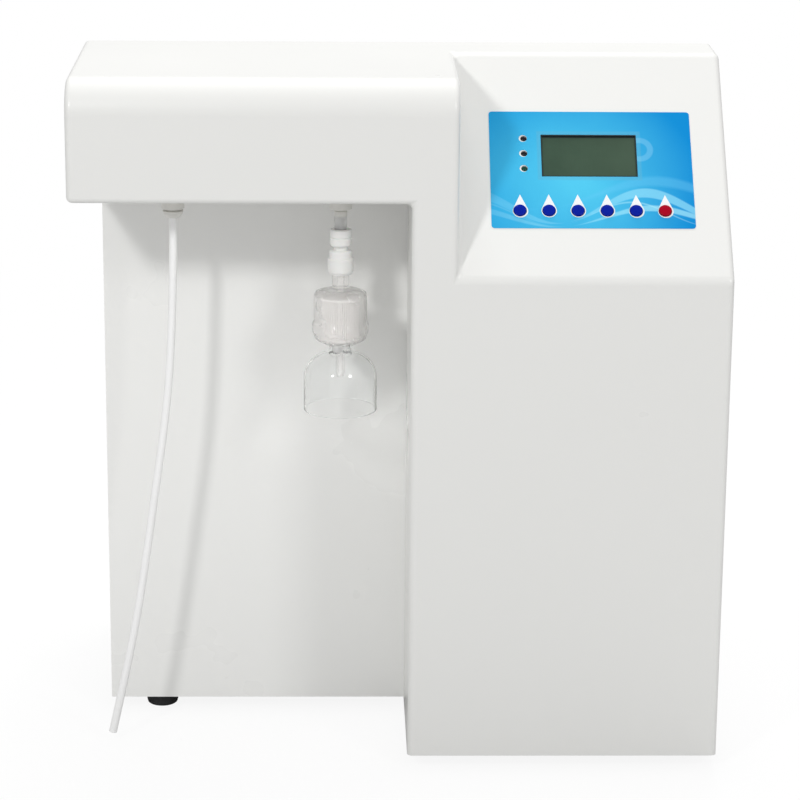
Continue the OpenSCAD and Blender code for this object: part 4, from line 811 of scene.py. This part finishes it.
turned("capsule_shell", [
    (2.5, 358.5, 0), (2.5, 374, 0), (6.5, 374, 0.3), (6.5, 362.6, 1), (14, 361.2, 2),
    (19.6, 359.2, 1.2), (20.5, 356.6, 1), (20.5, 337, 2), (21.7, 334.5, 2), (21.7, 328.5, 2.5),
    (19.5, 322.5, 3), (13, 319.2, 1), (6.6, 319, 0.5), (6.0, 310.5, 0.5), (3.5, 310, 0.3),
    (3.4, 295, 0.4), (2.5, 292, 0.4), (1.8, 292, 0), (1.8, 321.5, 0.4), (17.2, 321.8, 2),
    (18.9, 327.5, 1), (18.9, 355.6, 2), (16.4, 358.5, 1)],
    FILTER_X, "final_filter", milky_plastic, ["filter_capsule"],
    segments=72, smooth=50)


def pleated_core():
    """Folded membrane standing inside the capsule, with its end discs."""
    bm = bmesh.new()
    pleats, fold, low, high, disc, disc_r = 48, (14.2, 14.0, 12.0, 12.2), 324, 354, 1.7, 14.3
    outline = []
    for k in range(pleats * 4):
        r = fold[k % 4]
        a = math.tau * k / (pleats * 4)
        outline.append((r * math.cos(a), r * math.sin(a)))
    place = standing(FILTER_X, OUTLET_D)
    prism(bm, outline, low, high, place)
    for z0, z1 in ((low - disc, low), (high, high + disc)):
        lathe(bm, fillet([(0, z0, 0), (disc_r, z0, 0.4), (disc_r, z1, 0.4), (0, z1, 0)], 3), place)
    add("pleated_core", bm, "final_filter", [paper], 30, ["filter_core"])


def bell():
    """Clear bell that keeps splashes in: collar, domed shoulder, straight wall and a rounded rim."""
    dome_z = 292
    collar = fillet([(6.3, 318, 0), (8.5, 318, 0.6), (8.5, 311.5, 1.0), (9.4, 311, 0)], 4)
    turns = [math.radians(a) for a in range(6, 91, 6)]
    outside = [(8.5 + 19.8 * math.sin(a), dome_z + 19 * math.cos(a)) for a in turns]
    rim = [(28.3, 267.2), (28.5, 266.6), (28.3, 266.1), (27.7, 266.0), (27.1, 266.3), (27.0, 267.2)]
    inside = [(6.3 + 20.7 * math.sin(a), dome_z + 17.8 * math.cos(a)) for a in reversed(turns)]
    bm = lathe(bmesh.new(), collar + outside + rim + inside, standing(FILTER_X, OUTLET_D), True, 96)
    add("bell_shell", bm, "bell", [clear_plastic], 50, ["filter_bell"])


pleated_core()
bell()


# ---------------------------------------------------------------- feet, screws and rear fittings
def foot_pads():
    """Rubber feet with a recessed screw seat: one shows in front, under the bay."""
    bm = bmesh.new()
    outline = fillet([
        (5.2, -12, 0), (11.2, -12, 0.6), (12.2, -11.2, 0.6), (12.8, -9, 0.5), (13, -1.2, 0.8),
        (12.2, 0, 0.3), (2.6, 0, 0), (2.6, -3, 0), (5, -3, 0)], 4)
    for x, y in ((57.5, 146), (442.5, 46), (57.5, 305), (442.5, 305)):
        lathe(bm, outline, standing(x, y), True, 48)
    add("foot_pads", bm, "case", [rubber], 40, ["rubber_feet"])


def screw(bm, at, way):
    """A domed cross-head screw whose head stands on a case point and faces along way."""
    head, high, shank, deep = 3.5, 2.2, 1.5, 7
    place = Matrix.Translation(case(*at)) @ Vector(way).to_track_quat("Z", "X").to_matrix().to_4x4()
    outline = fillet([(0, -deep, 0), (shank, -deep, 0.2), (shank, 0, 0), (head, 0, 0.1), (head, 0.5, 0.3),
                      (head * 0.72, high * 0.82, 0.8), (0, high, 0)], 5)
    ob = temporary(lathe(bmesh.new(), outline, place, segments=32))
    cross = bmesh.new()
    for w, d in ((0.42, 1.9), (1.9, 0.42)):
        prism(cross, rectangle(-w, -d, w, d), high - 1.3, high + 1, place)
    boolean(ob, temporary(cross), "DIFFERENCE")
    taken(ob, bm)


def screws():
    """Screws of the rear panel, the cover's lower edges and the column's foot."""
    bm = bmesh.new()
    for x in (COVER_X + 6, COVER_X2 - 6):
        for z in (30, ROOF_Z / 2, ROOF_Z - 40):
            screw(bm, (x, CASE_D, z), (0, 1, 0))
    for x in (170, 330):
        screw(bm, (x, CASE_D, ROOF_Z - 6), (0, 1, 0))
    for y in (FRONT_D + 30, CASE_D - 36.5):
        screw(bm, (COVER_X, y, 10), (-1, 0, 0))
        screw(bm, (COVER_X2, y, 10), (1, 0, 0))
    for x in (264, 493):
        screw(bm, (x, 7, 0), (0, 0, -1))
    add("cross_head_screws", bm, "case", [screw_steel], 35, ["case_screws"])


def port_sockets():
    """Push-fit sockets: clamped flange, ribbed neck and a release collar with a flared mouth."""
    bm = bmesh.new()
    outline = fillet([
        (2, -21.5, 0), (7, -21.5, 0.8), (7, -9.5, 0.4), (7.5, -9.4, 0), (7.5, -7.5, 0),
        (10.5, -7.5, 0.6), (10.5, -1.5, 0), (7.5, -1.5, 0), (7.5, 0, 0), (9.5, 0, 0.5), (9.5, 3, 0.5),
        (7.5, 3, 0.2), (7.5, 11, 0.5), (6.6, 11.3, 0.3), (6.6, 12.3, 0.1), (7.2, 12.4, 0.3),
        (7.2, 15, 0.6), (4.2, 15, 0.6), (3.25, 13.8, 0.4), (3.25, -2, 0), (2, -2, 0)], 4)
    for x in (250, 300, 350):
        place = Matrix.Translation(case(x, CASE_D, 160)) @ Matrix.Rotation(-math.pi / 2, 4, "X")
        lathe(bm, outline, place, True, 48)
    add("port_sockets", bm, "case", [fitting_white], 40, ["rear_ports"])


def power_entry():
    """Plug socket and rocker well in one black plate, its edges rounded, and the socket's pins."""
    x0, z0, wide, tall, lip = 75, 50, 30, 70, 3
    face = CASE_D + lip
    bm = bmesh.new()
    prism(bm, rectangle(x0, z0, x0 + wide, z0 + tall), CASE_D, face, FACING)
    rim = [e for e in bm.edges if any(v.co.y > case(0, CASE_D + 1, 0).y for v in e.verts)]
    bmesh.ops.bevel(bm, geom=rim, offset=1.2 * MM, segments=4, profile=0.5, affect="EDGES")
    ob = temporary(bm)
    bm = bmesh.new()
    body = rectangle(x0 + 2, z0 + 2, x0 + wide - 2, z0 + tall - 2)
    prism(bm, body, CASE_D - 29.5, CASE_D + 0.5, FACING)
    boolean(ob, temporary(bm), "UNION")

    socket_x, socket_z = x0 + 3, z0 + 6
    well_x, well_z = x0 + wide / 2, z0 + tall - 15.5
    corners = ((0, 0, 0), (24, 0, 0.8), (24, 11, 0.8), (19, 16, 0.8), (5, 16, 0.8), (0, 11, 0.8),
               (0, 0, 0))
    mouth = fillet([(socket_x + dx, socket_z + dz, r) for dx, dz, r in corners], 3)[:-1]
    bm = bmesh.new()
    prism(bm, mouth, face - 18, face + 1, FACING)
    well = rectangle(well_x - 7, well_z - 10, well_x + 7, well_z + 10)
    prism(bm, well, CASE_D - 14, face + 1, FACING)
    boolean(ob, temporary(bm), "DIFFERENCE")
    add("power_entry", taken(ob), "case", [inlet_black], 30, ["power_inlet"],
        weighted=True)

    bm = bmesh.new()
    for dx, dz in ((-7, 4.5), (0, 8.5), (7, 4.5)):
        x, z = well_x + dx, socket_z + dz
        made = prism(bm, rectangle(x - 2, z, x + 2, z + 2.5), face - 18.5, face - 4, FACING)
        bmesh.ops.bevel(bm, geom=list({e for f in made for e in f.edges}), offset=0.5 * MM,
                        segments=3, profile=0.5, affect="EDGES")
    add("inlet_pins", bm, "case", [screw_steel], 35, ())


foot_pads()
screws()
port_sockets()
power_entry()

# ---------------------------------------------------------------- CAD nodes that stay
# Each finish with its nodes, and how far their edges are rounded.
KEPT = (
    (panel_white, {"bay_panel": 0.5}),
    (powder_white, {"cabinet_cover": 0.35, "rear_panel": 0.3}),
    (galvanised, {"floor_tray": 0.3, "mounting_plate": 0.3, "pump_brackets": 0.3, "power_supply": 0.5}),
    (brushed, {"uv_reactor": 0.4, "pump_motors": 0.8}),
    (screw_steel, {"foot_screws": 0.2, "board_screws": 0.1, "booster_shaft": 0.2, "delivery_shaft": 0.2}),
    (works_black, {"display_module": 0.3, "key_switches": 0.3, "cartridge_clips": 0.4, "ro_clips": 0.4,
                   "uv_end_caps": 0.8, "uv_clips": 0.4, "pump_heads": 1.0}),
    (fitting_white, {"pretreatment_cartridge": 1.2, "ro_housing": 0.8, "ro_cap": 1.2}),
    (fitting_cream, {"outlet_nuts": 0.4, "outlet_valves": 0.8, "polishing_cartridge": 1.2,
                     "uv_ballast": 1.0, "line_valves": 0.6}),
    (board_green, {"control_board": 0.2}),
    (paper, {"ro_membrane": 0.5}),
    (quartz, {"uv_lamp": 0.4}),
    (rubber, {"pump_grommets": 0.6}),
    (inlet_black, {"power_rocker": 0.4}),
    (tube_grey, {"raw_tubing": 0, "product_tubing": 0}),
    (cable, {"wiring": 0}),
)
for name, mat, width in ((name, mat, width) for mat, group in KEPT for name, width in group.items()):
    ob = nodes[name]
    ob.data.materials.clear()
    ob.data.materials.append(mat)
    ob.data.polygons.foreach_set("use_smooth", [True] * len(ob.data.polygons))
    if width:
        soften(ob, width)


# ---------------------------------------------------------------- floor, lamps and world
def seen(nd, lk):
    """1 for what the camera sees, straight or through clear plastic."""
    path = nd.new("ShaderNodeLightPath")
    return calc(nd, lk, "MAXIMUM", path.outputs["Is Camera Ray"], path.outputs["Is Transmission Ray"])


def floor():
    """A matt white floor that keeps the shadow near the part and is plain white further out."""
    radius, sides, near, far = 9, 96, 0.4, 1.6
    bm = bmesh.new()
    bm.faces.new([bm.verts.new((x, y, 0)) for x, y in circle(radius, sides)])
    m, nd, lk, p = tree("floor_white")
    p.inputs["Roughness"].default_value = 0.9
    p.inputs["Specular IOR Level"].default_value = 0.1
    glow = nd.new("ShaderNodeEmission")
    glow.inputs["Strength"].default_value = 1.0
    direct = seen(nd, lk)
    lk.new(tint(nd, lk, direct, (0.6, 0.6, 0.6), (0.95, 0.95, 0.95)), p.inputs["Base Color"])
    distance = nd.new("ShaderNodeVectorMath")
    distance.operation = "LENGTH"
    lk.new(nd.new("ShaderNodeTexCoord").outputs["Object"], distance.inputs[0])
    mix = nd.new("ShaderNodeMixShader")
    share = ranged(nd, lk, distance.outputs["Value"], 0.9, 1, near, far)
    lk.new(calc(nd, lk, "MULTIPLY", direct, share), mix.inputs["Fac"])
    lk.new(p.outputs[0], mix.inputs[1])
    lk.new(glow.outputs[0], mix.inputs[2])
    lk.new(mix.outputs[0], nd["Material Output"].inputs["Surface"])
    ob = add("studio_floor", bm, None, [m], 0)


def lamp(name, at, aim, size, watts):
    """A square area lamp at a point, turned towards another, in metres."""
    light = bpy.data.lights.new(name, "AREA")
    light.energy, light.size = watts, size
    ob = bpy.data.objects.new(name, light)
    turn = (Vector(aim) - Vector(at)).to_track_quat("-Z", "Y")
    ob.matrix_world = Matrix.Translation(at) @ turn.to_matrix().to_4x4()
    bpy.context.scene.collection.objects.link(ob)
    return ob


def studio():
    """White surroundings that light the part less than the camera sees them, and four lamps."""
    world = bpy.data.worlds.new("studio")
    bpy.context.scene.world = world
    world.use_nodes = True
    nd, lk = world.node_tree.nodes, world.node_tree.links
    strength = calc(nd, lk, "ADD", calc(nd, lk, "MULTIPLY", seen(nd, lk), 1 - WORLD), WORLD)
    lk.new(strength, nd["Background"].inputs["Strength"])
    nd["Background"].inputs["Color"].default_value = (1, 1, 1, 1)
    lamp("key", (-0.96, -1.82, 1.52), (0, -0.05, 0.3), 0.22, KEY)
    lamp("side", (1.25, -1.9, 1.6), (0.05, -0.05, 0.3), 0.5, SIDE)
    lamp("top", (0.1, 0.55, 2.4), (0, 0, 0.5), 1.2, TOP).visible_glossy = False
    lamp("back", (0.2, 1.5, 2.3), (0, 0, 0.4), 1.0, BACK).visible_glossy = False
    bpy.context.scene.view_settings.view_transform = "Standard"


floor()
studio()
